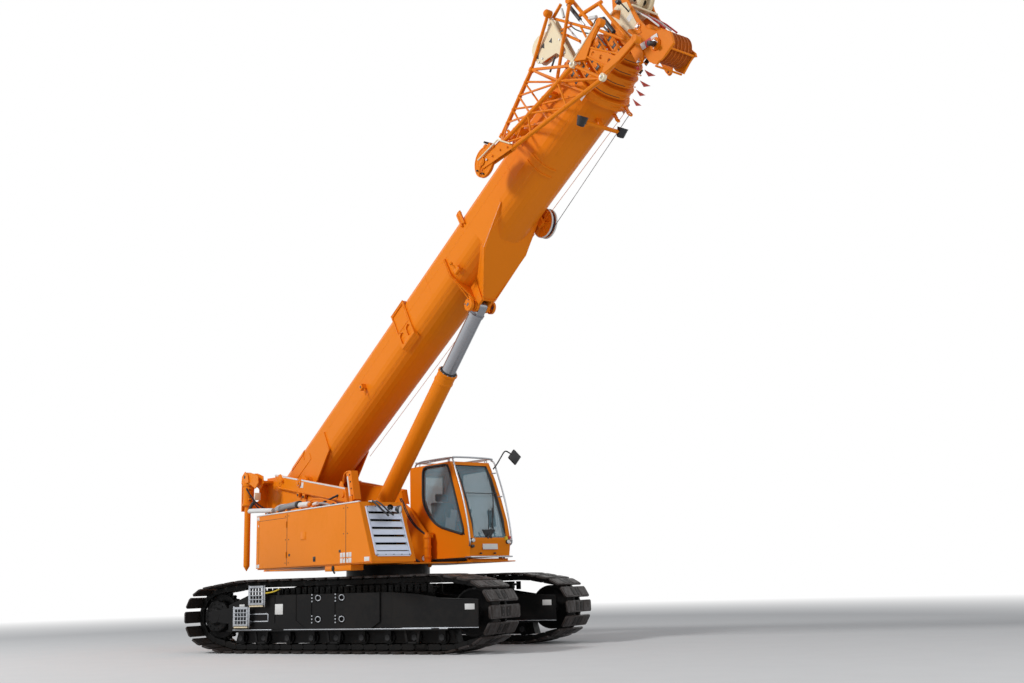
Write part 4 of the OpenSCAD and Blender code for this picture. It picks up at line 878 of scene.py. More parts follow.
    # Wiper pivots, the two knobs below the plate and the housings of the corner lamps
    for xa, xb, y, za, zb, radius, sides, soft in (
            (1.49, 1.545, 0.98, 1.73, 1.735, 0.022, 14, 0.004), (1.49, 1.545, 1.04, 1.73, 1.735, 0.022, 14, 0.004),
            (1.53, 1.575, 0.82, 1.475, 1.475, 0.014, 12, 0.003), (1.53, 1.575, 1.1, 1.475, 1.475, 0.014, 12, 0.003),
            (1.53, 1.585, 0.655, 1.685, 1.685, 0.036, 18, 0.006), (1.53, 1.58, 0.655, 1.59, 1.59, 0.026, 16, 0.004),
            (1.52, 1.575, 1.37, 1.66, 1.66, 0.036, 18, 0.006)):
        front.rod((xa, y, za), (xb, y, zb), radius, sides, soft=soft)
    for profile, centre, axis, steps, ink in (
            ([(0.0, 0.012), (0.028, 0.008), (0.032, 0.0)], (1.585, 0.655, 1.685), (1, 0, 0), 18, lens_white),
            ([(0.0, 0.014), (0.028, 0.009), (0.033, 0.0)], (1.575, 1.37, 1.66), (1, 0, 0), 18, lens_white),
            ([(0.0, 0.055), (0.022, 0.05), (0.034, 0.025), (0.036, 0.0)], (1.535, 1.345, 1.7), (0.4, -0.2, 1), 18,
             yellow_paint),
            ([(0.0, 0.04), (0.02, 0.036), (0.026, 0.0)], (1.55, 1.4, 1.715), (0.4, 0.2, 1), 16, red_plastic)):
        front.lathe(profile, centre, axis, steps, ink)
    front.done()

    mirror = Piece("side_mirror", "cab", lamp_black, ON_SLEW, slot="lamp_plastic")
    mirror.hose([(1.15, 1.4, 2.9), (1.19, 1.43, 2.95), (1.27, 1.5, 3.12), (1.3, 1.54, 3.2), (1.3, 1.6, 3.2),
            (1.31, 1.7, 3.14)], 0.012)
    mirror.block((1.275, 1.655, 3.005), (1.315, 1.855, 3.205), 0.016, turn=turned("X", -40))
    mirror.block((1.268, 1.672, 3.022), (1.274, 1.838, 3.188), 0.002, mirror_glass, turned("X", -40))
    mirror.done()

    ledge = Piece("cab_ledge", "superstructure", aluminium, ON_SLEW, slot="step_alu")
    ledge.block((1.43, 0.585, 1.408), (1.6, 1.43, 1.43), 0.005)
    for k in range(13):
        ledge.block((1.45, 0.62 + k * 0.063, 1.428), (1.58, 0.645 + k * 0.063, 1.4335), 0.002)
    ledge.plate([(0.2, 0.62), (1.45, 0.62), (1.62, 0.76), (1.62, 1.47), (0.2, 1.47)], 1.335, 1.353, "z", 0.004,
            orange_paint)
    ledge.block((-0.25, 0.61, 1.36), (1.42, 0.625, 1.405), 0.004, black_paint)
    for y in (0.7, 1.35):
        ledge.rod((1.46, y, 1.353), (1.46, y, 1.41), 0.016, 10, black_paint)
    ledge.done()


def dress_seat():
    z0 = CAB_LOW
    seat = Piece("seat_cushions", "cab", seat_cloth, ON_SLEW, slot="seat_fabric")
    for points, low, high in (([(0.2, 0.345), (0.71, 0.345), (0.72, 0.45), (0.2, 0.46)], 0.8, 1.26),
                              ([(0.16, 0.44), (0.27, 0.44), (0.17, 0.98), (0.06, 0.98)], 0.81, 1.25),
                              ([(0.075, 0.99), (0.155, 0.99), (0.13, 1.13), (0.055, 1.13)], 0.9, 1.16)):
        shape = prism(from_cab(points), low, high)
        rounded(shape, shape.edges[:], 0.035, 3)
        bmesh.ops.subdivide_edges(shape, edges=shape.edges[:], cuts=1, use_grid_fill=True)
        bmesh.ops.smooth_vert(shape, verts=shape.verts, factor=0.5, use_axis_x=True, use_axis_y=True, use_axis_z=True)
        seat.keep(shape)
    seat.done("cab_seat")

    mount = Piece("seat_mount", "cab", lamp_black, ON_SLEW, slot="lamp_plastic")
    mount.block((0.24, 0.86, z0 + 0.06), (0.66, 1.2, z0 + 0.34), 0.03)
    for y in (0.77, 1.29):
        mount.block((0.24, y - 0.035, z0 + 0.58), (0.6, y + 0.035, z0 + 0.65), 0.02)
        mount.block((0.28, y - 0.04, z0 + 0.35), (0.5, y + 0.04, z0 + 0.58), 0.02)
        mount.hose(at_y(y, from_cab([(0.58, 0.64), (0.6, 0.74), (0.61, 0.8)])), 0.013)
        mount.lathe([(0.0, 0.05), (0.02, 0.045), (0.026, 0.02), (0.02, 0.0)], (0.61, y, z0 + 0.79), (0.1, 0, 1), 14)
    mount.done()

    inside = Piece("cab_controls", "cab", lamp_black, ON_SLEW, slot="lamp_plastic")
    for x0, x1, y0, y1, low, high, soft, ink, lean in (
            (1.28, 1.42, 0.75, 1.3, 0.07, 0.3, 0.03, lamp_black, 0), (1.2, 1.24, 1.22, 1.36, 0.5, 0.78, 0.012,
                    lamp_black, -12),
            (1.194, 1.199, 1.235, 1.345, 0.53, 0.75, 0.002, screen_blue, -12),
            (0.7, 0.99, 0.7, 0.715, 0.44, 0.66, 0.003, paper_white, 12), (0.84, 1.02, 0.71, 0.722, 0.6, 0.8, 0.003,
                    paper_white, 12),
            (1.04, 1.2, 0.85, 0.95, 0.075, 0.1, 0.008, grey_paint, -20), (1.04, 1.2, 1.05, 1.15, 0.075, 0.1, 0.008,
                    grey_paint, -20),
            (-0.2, 1.36, 0.72, 1.34, 0.065, 0.078, 0.003, lamp_black, 0)):
        inside.block((x0, y0, z0 + low), (x1, y1, z0 + high), soft, ink, turned("Y", lean))
    inside.hose(at_y(1.3, from_cab([(1.32, 0.28), (1.27, 0.4), (1.23, 0.52)])), 0.014)
    for y in (0.9, 1.1):
        inside.hose(at_y(y, from_cab([(1.24, 0.08), (1.2, 0.3), (1.1, 0.42)])), 0.012)
    inside.done()


# Boom, in its own frame: along it, across it and up from its pivot
BASE_FRONT, COLLAR_PITCH, COLLAR_L, BOOM_MID = 9.35, 0.17, 0.12, 0.3375
BOOM_W, BOOM_D, STEP_IN = 0.39, 0.4175, 0.04
ALONG, ACROSS = (1, 0, 0), (0, 1, 0)
# Centres, along the boom and up: lift cylinder's upper pin, cable reel, lower and upper sheaves of the head
ROD_EYE, REEL_AT, SHEAVE_AT, TOP_AT = (5.43, -0.41), (6.92, 0.06), (10.49, -0.4), (10.45, 0.74)
HEAD_L = 10.085


def boom_outline(i, grow):
    w, d = BOOM_W - i * STEP_IN + grow, BOOM_D - i * STEP_IN + grow
    low, top = 0.3 - i * 0.034 + grow, 0.12 - i * 0.012 + grow
    points = []
    for y, h, r, start, steps in ((-w + low, -d + low, low, 180, 8), (w - low, -d + low, low, 270, 8),
                                  (w - top, d - top, top, 0, 4), (-w + top, d - top, top, 90, 4)):
        for k in range(steps + 1):
            turn = math.radians(start + 90 * k / steps)
            points.append((y + r * math.cos(turn), h + r * math.sin(turn) + BOOM_MID))
    return points


# A band round section i from l0 to l1; keep says which part of the outline it covers
def boom_band(piece, i, l0, l1, inner, outer, soft=0.0, ink=None, keep=None):
    inside, outside = boom_outline(i, inner), boom_outline(i, outer)
    count = len(inside)
    shape = bmesh.new()
    rows = [[shape.verts.new((l, y, h)) for y, h in loop]
            for l, loop in ((l0, inside), (l0, outside), (l1, outside), (l1, inside))]
    for k in range(count):
        n = (k + 1) % count
        if keep and not (keep(*outside[k]) and keep(*outside[n])):
            continue
        for a in range(4):
            b = (a + 1) % 4
            shape.faces.new((rows[a][k], rows[a][n], rows[b][n], rows[b][k]))
    bmesh.ops.delete(shape, geom=[v for v in shape.verts if not v.link_faces], context="VERTS")
    open_edges = [e for e in shape.edges if len(e.link_faces) == 1]
    if open_edges:
        bmesh.ops.holes_fill(shape, edges=open_edges, sides=4)
    bmesh.ops.recalc_face_normals(shape, faces=shape.faces)
    if soft:
        rims = [e for e in shape.edges if abs(e.verts[0].co.x - e.verts[1].co.x) < 1e-6
                and len(e.link_faces) == 2 and e.calc_face_angle(0) > 1.2]
        rounded(shape, rims, soft)
    piece.keep(shape, ink)


def dress_boom():
    skin = Piece("boom_trim", "boom", boom_paint, ON_BOOM)
    for side in (-1, 1):
        y = side * BOOM_W
        # Fold and weld lines along the side, and the seams between its plates
        for ha, hb, r in ((-0.018, -0.018, 0.004), (0.475, 0.468, 0.003)):
            skin.bead([(0.92, y - side * 0.001, ha), (9.22, y - side * 0.001, hb)], r)
        for l in (4.9, 7.48):
            skin.bead([(l, y, 0.26), (l, y, 0.63)], 0.004)
        # Cover plate over the foot and its seam
        skin.plate([(-0.5, 0.5), (0.0, 0.5), (0.0, 0.62), (-0.5, 0.62)], y, y + side * 0.012, soft=0.003)
        skin.plate([(-0.62, 0.36), (0.26, 0.36), (0.26, 0.484), (0.2, 0.49), (-0.56, 0.49)], y + side * 0.022,
                   y + side * 0.03, soft=0.002)
        skin.block((9.16, y, -0.01), (9.325, y + side * 0.0035, 0.05), 0.001, white_strip)
    boom_band(skin, 0, -0.52, 0.02, 0.0, 0.014, 0.004, keep=lambda y, h: h > 0.6)
    boom_band(skin, 0, -0.93, -0.86, 0.0, 0.02, 0.005)
    skin.bolts([(l, y, 0.767) for l in (-0.72, -0.3, -0.08) for y in (-0.25, 0.0, 0.25)], UP, 0.018, 0.014)
    skin.block((-0.4, -0.05, 0.765), (-0.34, 0.05, 0.86), 0.012)
    for y in (-0.2, 0.2):
        skin.hose([(0.4, y, 0.755), (0.5, y, 0.83), (0.62, y, 0.83), (0.72, y, 0.755)], 0.012, aluminium)
    # Walkway pads on the upper side
    for k in range(7):
        skin.block((1.6 + k * 1.05, -0.17, 0.752), (2.2 + k * 1.05, 0.17, 0.761), 0.004, lamp_black)
    skin.done()

    ribs = Piece("pin_box_trim", "boom", boom_paint, ON_BOOM)
    for side in (-1, 1):
        out = (0, side, 0)
        ribs.bead([(7.06, side * 0.392, 0.152), (6.385, side * 0.392, -0.125), (5.65, side * 0.105, -0.5)], 0.009, 3)
        ribs.bead([(7.055, side * 0.392, 0.16), (6.385, side * 0.393, -0.117)], 0.006, ink=white_strip)
        ribs.bead([(5.49, side * y, h) for y, h in ((0.425, 0.46), (0.425, 0.09), (0.332, -0.06), (0.228, -0.37))],
                0.008, 3)
        # Pin of the lift cylinder's eye with its keeper
        l, h = ROD_EYE
        ribs.lathe([(0.0, 0.05), (0.058, 0.05), (0.062, 0.045), (0.1, 0.044), (0.104, 0.0)], (l, side * 0.19, h), out,
                30)
        ribs.block((l - 0.03, side * 0.232, h - 0.02), (l + 0.03, side * 0.243, h + 0.02), 0.003, grey_paint)
        for turn in (math.radians(45), math.radians(135)):
            ribs.bolt((l + 0.075 * math.cos(turn), side * 0.236, h + 0.075 * math.sin(turn)), out, 0.01, 0.012,
                    grey_paint)
    ribs.bead([(5.66, -0.1, -0.494), (5.66, 0.1, -0.494)], 0.01, 3)
    ribs.done()

    hang = Piece("bracket_plate_trim", "boom", boom_paint, ON_BOOM)
    hang.bolts([(l, -0.4145, h) for l in (3.875, 3.995, 4.12) for h in (0.3, 0.715)], (0, -1, 0), 0.011, 0.008)
    hang.bead([(l, -0.4165, h) for l, h in ((3.815, 0.335), (4.18, 0.335), (4.18, 0.705), (3.815, 0.705),
            (3.815, 0.335))],
              0.006)
    hang.block((3.9, -0.416, 0.05), (4.1, -0.412, 0.1), 0.0015)
    hang.bead([(3.785, -0.415, 0.75), (4.21, -0.415, 0.75)], 0.008, 3)
    hang.block((2.42, -0.486, 0.232), (2.52, -0.478, 0.338), 0.003)
    hang.rod((2.47, -0.49, 0.285), (2.47, -0.44, 0.285), 0.02, 12, lamp_black, 0.003)
    hang.hose([(2.34, -0.4, 0.42), (2.4, -0.43, 0.36), (2.47, -0.45, 0.3), (2.52, -0.44, 0.2), (2.45, -0.42, 0.12)],
            0.012)
    hang.block((5.63, -0.45, 0.0), (5.75, -0.392, 0.1), 0.01)
    hang.rod((5.69, -0.43, 0.06), (5.69, -0.49, 0.16), 0.016, 12)
    hang.lathe([(0.0, 0.03), (0.026, 0.026), (0.03, 0.0), (0.02, -0.01)], (5.69, -0.49, 0.165), (0, -0.5, 1), 16)
    for l in (6.145, 6.215):
        hang.block((l - 0.018, -0.425, 0.56), (l + 0.018, -0.391, 0.82), 0.004)
    hang.ring((6.18, -0.402, 0.79), ACROSS, 0.045, 0.016, 18)
    hang.block((1.22, -0.205, 0.845), (1.34, -0.055, 0.868), 0.006)
    hang.ring((1.28, -0.13, 0.89), ALONG, 0.035, 0.011, 18, aluminium)
    hang.done()


# The pink pointers on collars 1 to 4
POINTERS = (((9.464, -0.071), (9.453, -0.215), (9.527, -0.297)), ((9.586, -0.018), (9.583, -0.159), (9.663, -0.236)),
            ((9.712, 0.03), (9.708, -0.111), (9.805, -0.21)), ((9.859, 0.084), (9.852, -0.061), (9.952, -0.165)))


def dress_collars():
    for i in range(5):
        l1 = BASE_FRONT + COLLAR_PITCH * i
        collar = Piece("collar_trim_%d" % i, "section_%d" % i if i else "boom", boom_paint, ON_BOOM)
        grow = 0.045 - i * 0.002
        boom_band(collar, i, l1 - 0.016, l1 + 0.003, grow - 0.03, grow + 0.008, 0.004)
        boom_band(collar, i, l1 - COLLAR_L - 0.003, l1 - COLLAR_L + 0.016, grow - 0.03, grow + 0.008, 0.004)
        w = BOOM_W - i * STEP_IN + grow
        top = BOOM_MID + BOOM_D - i * STEP_IN + grow
        low = BOOM_MID - BOOM_D + i * STEP_IN - grow
        for side in (-1, 1):
            y = side * (w - 0.17)
            for h in (top - 0.2, top - 0.36, top - 0.52):
                collar.block((l1 - 0.105, side * (w - 0.006), h - 0.05), (l1 - 0.03, side * (w + 0.004), h + 0.035),
                        0.004,
                             lamp_black)
                collar.block((l1 - 0.095, side * w, h - 0.012), (l1 - 0.04, side * (w + 0.011), h + 0.028), 0.004)
            collar.block((l1 - 0.1, y - 0.045, top - 0.008), (l1 - 0.028, y + 0.045, top + 0.006), 0.004, lamp_black)
            collar.bolts([(l1 + 0.002, side * (w - 0.018), top - 0.17 - k * 0.11) for k in range(4)], ALONG, 0.011,
                    0.012,
                         aluminium)
        if i:
            boom_band(collar, i, l1 - COLLAR_L + 0.002, l1 - COLLAR_L + 0.024, grow - 0.012, grow + 0.0025,
                      ink=lamp_black, keep=lambda y, h: y < 0.1 and h < BOOM_MID - 0.28)
            collar.plate(POINTERS[i - 1], 0.295, 0.305, soft=0.002, ink=pointer_pink)
        collar.bolts([(l1 - 0.06, 0.02 + 0.035 * k, low + 0.002) for k in range(7)], (0, 0, -1), 0.011, 0.01)
        collar.done()

    lamps = Piece("spotlight_lenses", "boom", lamp_black, ON_BOOM)
    aim = turned("Y", 60) @ Vector(UP)
    for side in (-1, 1):
        here = (8.99, side * 0.37, -0.23)
        lamps.lathe([(0.076, 0.052), (0.081, 0.058), (0.081, 0.068), (0.076, 0.07), (0.07, 0.062)], here, aim, 26)
        lamps.lathe([(0.0, 0.07), (0.05, 0.068), (0.074, 0.06)], here, aim, 26, lens_white)
        lamps.lathe([(0.055, -0.06), (0.045, -0.07), (0.0, -0.075)], here, aim, 22)
    lamps.block((8.965, -0.3, -0.252), (9.015, 0.3, -0.212), 0.006, boom_paint)
    lamps.block((8.968, -0.05, -0.215), (9.012, 0.05, -0.082), 0.006, boom_paint)
    lamps.done()

    eyes = Piece("cable_eyes", "boom", boom_paint, ON_BOOM)
    for l, y, h, r in ((9.3, 0.3, -0.2, 0.042), (9.13, 0.22, -0.17, 0.03)):
        eyes.plate([(y - 0.04, -0.04), (y - 0.03, h + 0.02), (y + 0.03, h + 0.02), (y + 0.04, -0.04)], l - 0.01,
                l + 0.01,
                   "x", 0.003)
        eyes.ring((l, y, h), ALONG, r, 0.013, 24)
    eyes.bead([(6.92, 0.5, -0.16), (9.3, 0.31, -0.2)], 0.005, ink=lamp_black)
    eyes.bead([(6.9, 0.51, -0.15), (9.28, 0.29, -0.22)], 0.004, ink=aluminium)
    eyes.done()

    reel = Piece("reel_trim", "reel", boom_paint, ON_BOOM)
    l, h = REEL_AT
    reel.lathe([(0.181, 0.0), (0.196, 0.012), (0.2, 0.03), (0.2, 0.05), (0.196, 0.07), (0.181, 0.086)], (l, 0.482, h),
            ACROSS,
               48, reel_blue)
    for y in (0.46, 0.54):
        reel.lathe([(0.22, -0.002), (0.232, -0.002), (0.232, 0.022), (0.22, 0.022)], (l, y, h), ACROSS, 48, white_strip,
                True)
    for k in range(6):
        turn = k * math.tau / 6 + 0.3
        c, s = math.cos(turn), math.sin(turn)
        for inner, outer in ((0.452, 0.455), (0.566, 0.563)):
            reel.bead([(l + 0.05 * c, inner, h + 0.05 * s), (l + 0.21 * c, outer, h + 0.21 * s)], 0.01)
    reel.lathe([(0.0, 0.045), (0.05, 0.04), (0.06, 0.0)], (l, 0.56, h), ACROSS, 24)
    reel.done()


def dress_head():
    head = Piece("head_trim", "section_5", boom_paint, ON_BOOM)
    for side in (-1, 1):
        out = (0, side, 0)
        base, near, far = (side * y for y in (0.256, 0.261, 0.265))
        head.plate([(10.16, 0.7), (10.33, 0.69), (10.47, 0.56), (10.44, 0.3), (10.41, -0.04), (10.26, 0.03)], base,
                   base + side * 0.006, soft=0.001, ink=ivory)
        head.plate([(10.17, 0.66), (10.25, 0.69), (10.33, 0.55), (10.24, 0.46)], near, far, ink=orange_paint)
        head.plate([(10.245, 0.19), (10.28, 0.2), (10.42, 0.02), (10.41, -0.04), (10.3, 0.01)], near, far,
                ink=orange_paint)
        head.block((10.34, near, 0.27), (10.43, far, 0.36), ink=white_strip)
        # Red and white warning strip
        for k in range(4):
            la, lb = 10.17 + 0.105 * k, 10.17 + 0.105 * (k + 1)
            ha, hb = -0.1 - 0.05 * k, -0.1 - 0.05 * (k + 1)
            head.plate([(la, ha), (lb, hb), (lb - 0.03, hb - 0.1), (la - 0.03, ha - 0.1)], side * 0.262, side * 0.266,
                       ink=white_strip if k % 2 else red_plastic)
        # Pins and their keeper plates
        for (l, h), r, y in ((SHEAVE_AT, 0.048, 0.281), (TOP_AT, 0.038, 0.256), ((10.415, 0.08), 0.024, 0.256),
                             ((10.163, -0.37), 0.017, 0.281)):
            here = (l, side * y, h)
            head.lathe([(0.0, 0.03), (r * 0.9, 0.03), (r, 0.022), (r, -0.01)], here, out, 22, aluminium)
            head.lathe([(r + 0.004, 0.0), (r + 0.004, 0.01), (r + 0.028, 0.01), (r + 0.028, 0.0)], here, out, 26,
                    closed=True)
            for turn in (0.8, 2.4, 4.0, 5.6):
                head.bolt((l + (r + 0.016) * math.cos(turn), side * (y + 0.009), h + (r + 0.016) * math.sin(turn)), out,
                          0.006, 0.006, aluminium)
    # Spacers between the plates
    for l, h, r in ((10.3, 0.78, 0.018), (10.5, 0.46, 0.016), (10.27, 0.42, 0.02), (10.6, -0.6, 0.014),
            (10.31, -0.62, 0.014)):
        head.rod((l, -0.235, h), (l, 0.235, h), r, 12, ivory if h > 0 else boom_paint)
    for y, ink in ((-0.16, white_strip), (-0.05, red_plastic), (0.06, white_strip), (0.17, red_plastic)):
        head.bead([(10.464, y, 0.402), (10.56, y, 0.12), (10.62, y, -0.14)], 0.012, ink=ink)
    head.rod((10.48, -0.4, -0.43), (10.5, -0.29, -0.42), 0.035, 16, lamp_black, 0.005)
    head.block((10.43, -0.47, 0.46), (10.49, -0.4, 0.52), 0.01, lamp_black)
    head.hose([(10.46, -0.4, 0.49), (10.44, -0.32, 0.45), (10.42, -0.26, 0.4)], 0.01, lamp_black)
    # Folded edges of the front plate
    head.bead([(l, -0.258, h) for l, h in ((10.505, -0.06), (10.586, -0.24), (10.671, -0.312), (10.755, -0.49),
                                           (10.704, -0.655), (10.513, -0.662))], 0.006)
    boom_band(head, 5, HEAD_L + 0.002, HEAD_L + 0.038, 0.015, 0.03, 0.004)
    head.bolts([(HEAD_L + 0.038, y * 0.97, h) for y, h in boom_outline(5, 0.022)[:22]], ALONG, 0.011, 0.012, aluminium)
    # Reflector on the lower edge
    head.lathe([(0.0, 0.01), (0.02, 0.008), (0.024, 0.0)], (10.098, -0.282, -0.425), (0, -1, 0), 14, red_plastic)
    head.done()

    low = Piece("lower_sheave_grooves", "lower_sheaves", sheave_brown, ON_BOOM)
    for k in range(6):
        here = (SHEAVE_AT[0], (k - 2.5) * 0.065, SHEAVE_AT[1])
        for side in (-1, 1):
            low.lathe([(r, side * depth) for r, depth in ((0.181, 0.02), (0.2, 0.024), (0.211, 0.026), (0.212, 0.032),
                                                          (0.211, 0.0325))], here, ACROSS, 44)
    low.done()

    top = Piece("upper_sheave_rims", "upper_sheaves", ivory, ON_BOOM)
    l, h = TOP_AT
    for y in (-0.09, 0.09):
        for side in (-1, 1):
            here, out = (l, y + side * 0.035, h), (0, side, 0)
            top.ring((l, y + side * 0.035 * 0.93, h), ACROSS, 0.264, 0.006, 40)
            top.lathe([(0.225, 0.0), (0.235, 0.006), (0.25, 0.006), (0.255, 0.0)], here, out, 40)
            top.lathe([(0.05, 0.0), (0.055, 0.012), (0.09, 0.012), (0.1, 0.0)], here, out, 30)
            for spot in circle(here, "y", 0.16, 6):
                top.lathe([(0.034, 0.0), (0.036, 0.005), (0.043, 0.005), (0.046, 0.0)], spot, out, 18)
                top.lathe([(0.0, 0.001), (0.034, 0.001)], spot, out, 18, lamp_black)
    top.done()


# Stowed jib: corner points at its tip, at its base and at the eyes of its yoke
JIB_TIP = [(7.92, -0.85, 0.34), (8.09, -0.85, 0.09), (7.905, -0.52, 0.595), (7.735, -0.52, 0.845)]
JIB_BASE = [(9.64, -0.85, 0.01), (9.93, -0.85, -0.63), (9.07, -0.52, 0.494), (8.784, -0.52, 1.134)]
JIB_EYE = [(10.3, -0.85, 0.05), (10.6, -0.85, -0.7), (9.94, -0.6, 1.17), (9.53, -0.6, 1.42)]
NEAR, ALONG_Y = (0, -1, 0), (0, 1, 0)


def dress_jib():
    jib = Piece("jib_trim", "boom", boom_paint, ON_BOOM)
    # Sleeves at the ends of the chords and collars at their joints
    for tip, base in zip(JIB_TIP, JIB_BASE):
        tip, base = Vector(tip), Vector(base)
        for spots, profile, steps in (((0.004, 0.985), [(0.03, -0.035), (0.042, -0.03), (0.042, 0.03), (0.03, 0.035)],
                18),
                                      ((0.2, 0.4, 0.6, 0.8),
                                       [(0.031, -0.012), (0.036, -0.008), (0.036, 0.008), (0.031, 0.012)], 16)):
            for share in spots:
                jib.lathe(profile, tip.lerp(base, share), (base - tip).normalized(), steps)
    # Eyes of the yoke: boss with a hole and its pin
    for l, y, h in JIB_EYE:
        for side in (-1, 1):
            here, out = (l, y + side * 0.04, h), (0, side, 0)
            jib.lathe([(0.022, -0.008), (0.026, 0.003), (0.048, 0.003), (0.055, -0.004), (0.055, -0.02)], here, out, 24)
            jib.lathe([(0.0, -0.006), (0.022, -0.006)], here, out, 18, lamp_black)
    for l, y, h in JIB_BASE[:2]:
        jib.lathe([(0.0, 0.062), (0.026, 0.06), (0.03, 0.05), (0.052, 0.046), (0.056, 0.0)], (l, y, h), NEAR, 22, ivory)
        jib.bolt((l, y - 0.06, h), NEAR, 0.016, 0.012, aluminium)
    # Broad side plates of the two near legs
    for outline in ([(9.67, 0.028), (10.262, 0.082), (10.3, 0.03), (10.15, 0.0), (9.85, -0.16)],
                    [(9.93, -0.6), (10.02, -0.53), (10.29, -0.59), (10.6, -0.655), (10.6, -0.745), (10.26, -0.7)]):
        jib.plate(outline, -0.882, -0.868, soft=0.004)
        jib.plate(outline, -0.834, -0.822, soft=0.004)
    # Folded rims of the legs, the cross plate, the tip's cheeks and the guard plate
    for points, radius, ink in (
            ([(9.66, -0.885, 0.03), (10.265, -0.885, 0.085)], 0.009, ivory),
            ([(9.66, -0.862, 0.018), (10.12, -0.862, -0.02), (10.3, -0.86, 0.04)], 0.012, boom_paint),
            ([(9.88, -0.866, -0.135), (10.065, -0.866, -0.6)], 0.013, boom_paint),
            ([(10.0, -0.866, -0.1), (10.285, -0.866, -0.6)], 0.013, boom_paint),
            ([(7.46, -0.92, 0.5), (7.96, -0.92, 0.385), (8.13, -0.92, 0.11)], 0.012, ivory),
            ([(9.49, -0.535, 1.46), (9.465, -0.535, 0.43)], 0.024, ivory),
            ([(7.95, -0.6, 0.7), (8.0, -0.62, 0.5), (8.06, -0.8, 0.3)], 0.02, boom_paint)):
        jib.bead(points, radius, 3, ink)
    # Plates over the tip sheave: cheeks with bolts, guard block and a pin
    for y, face in ((-0.9, -1), (-0.8, 1)):
        for l, h in ((7.5, 0.43), (7.6, 0.36), (7.72, 0.31), (7.9, 0.24), (8.04, 0.14), (7.82, 0.4)):
            jib.bolt((l, y, h), (0, face, 0), 0.016, 0.014, aluminium if l < 7.7 else boom_paint)
        jib.lathe([(0.0, 0.02), (0.03, 0.02), (0.045, 0.01), (0.06, 0.01), (0.062, 0.0)], (7.5, y, 0.43), (0, face, 0),
                22)
    jib.block((7.56, -0.9, 0.47), (7.78, -0.8, 0.56), 0.012, turn=turned("Y", 10))
    jib.block((7.64, -0.91, 0.55), (7.7, -0.79, 0.6), 0.012, turn=turned("Y", 10))
    jib.rod((7.72, -0.93, 0.6), (7.72, -0.77, 0.6), 0.016, 12, lamp_black)
    for l, h in ((7.36, 0.33), (7.33, 0.42), (7.41, 0.27)):
        jib.rod((l, -0.9, h), (l, -0.8, h), 0.014, 10, lamp_black)
    jib.bead([(7.5, -0.905, 0.43), (7.4, -0.905, 0.36), (7.33, -0.9, 0.3)], 0.012)
    # Deflector beside the far chord: a cream guard plate over its own sheave
    arc = [(8.905, 1.215), (8.9, 1.29), (8.93, 1.37), (8.985, 1.42), (9.06, 1.445), (9.14, 1.44), (9.22, 1.39),
           (9.32, 1.33),
           (9.47, 1.47), (9.5, 1.43), (9.47, 0.44), (9.44, 0.44), (9.27, 0.88), (9.1, 0.97), (8.96, 1.03), (8.91, 1.1)]
    jib.plate(arc, -0.52, -0.506, soft=0.003, ink=ivory)
    jib.plate(arc, -0.42, -0.408, soft=0.003, ink=ivory)
    for l, h, r in ((9.295, 1.129, 0.045), (9.139, 1.208, 0.05), (8.965, 1.17, 0.04)):
        jib.plate([(l + r * math.cos(a), h + r * math.sin(a)) for a in (0.5, 2.6, 4.7)], -0.524, -0.519, soft=0.001,
                ink=lamp_black)
    jib.bolts(at_y(-0.52, [(8.95, 1.08), (9.03, 1.06), (9.4, 1.36), (9.43, 0.98), (9.4, 0.72)]), NEAR, 0.014, 0.014,
            aluminium)
    jib.lathe([(0.1, -0.028), (0.19, -0.03), (0.16, -0.01), (0.16, 0.01), (0.19, 0.03), (0.1, 0.028)],
            (9.12, -0.464, 1.2),
              ALONG_Y, 40)
    jib.lathe([(0.0, 0.03), (0.03, 0.028), (0.05, 0.01), (0.055, -0.03)], (9.53, -0.64, 1.42), NEAR, 20)
    # Frame behind the far chords, its struts and the two small hydraulic cylinders
    for la, ha, lb, hb, y, radius, ink in (
            (9.73, 1.425, 9.506, 1.4, -0.5, 0.024, boom_paint), (9.515, 1.371, 9.952, 0.537, -0.5, 0.02, boom_paint),
            (9.912, 1.268, 9.982, 0.582, -0.5, 0.026, boom_paint), (10.238, 0.74, 10.325, -0.214, -0.5, 0.024,
                    boom_paint),
            (9.901, 0.923, 10.289, 0.704, -0.5, 0.028, boom_paint), (10.039, 0.385, 10.319, -0.222, -0.5, 0.022,
                    boom_paint),
            (9.506, 1.046, 9.691, 0.606, -0.5, 0.02, boom_paint), (9.814, 0.792, 9.802, 0.425, -0.5, 0.016, boom_paint),
            (9.52, 1.1, 9.7, 0.95, -0.5, 0.014, boom_paint), (9.6, 1.15, 9.66, 0.62, -0.46, 0.012, white_strip),
            (9.998, 0.72, 10.1, 0.61, -0.5, 0.026, white_strip), (9.7, 1.35, 9.66, 1.2, -0.5, 0.02, white_strip),
            (9.823, 1.284, 9.864, 0.867, -0.5, 0.028, lamp_black), (9.85, 0.95, 9.88, 0.72, -0.5, 0.014, aluminium),
            (10.175, 0.477, 10.202, 0.133, -0.5, 0.03, lamp_black), (10.11, 0.45, 10.15, 0.2, -0.52, 0.014, lamp_black),
            (9.624, 1.103, 9.529, 1.051, -0.48, 0.012, lamp_black), (9.2, 0.9, 9.0, 0.8, -0.48, 0.014, lamp_black)):
        jib.rod((la, y, ha), (lb, y, hb), radius, 14, ink, 0.004)
    jib.hose([(9.82, -0.5, 1.27), (9.7, -0.48, 1.2), (9.66, -0.47, 1.0), (9.75, -0.46, 0.75), (9.9, -0.46, 0.5)], 0.009,
            lamp_black)
    jib.hose(at_y(-0.5, [(10.18, 0.48), (10.1, 0.6), (10.0, 0.58), (9.95, 0.4), (10.0, 0.1)]), 0.009, lamp_black)
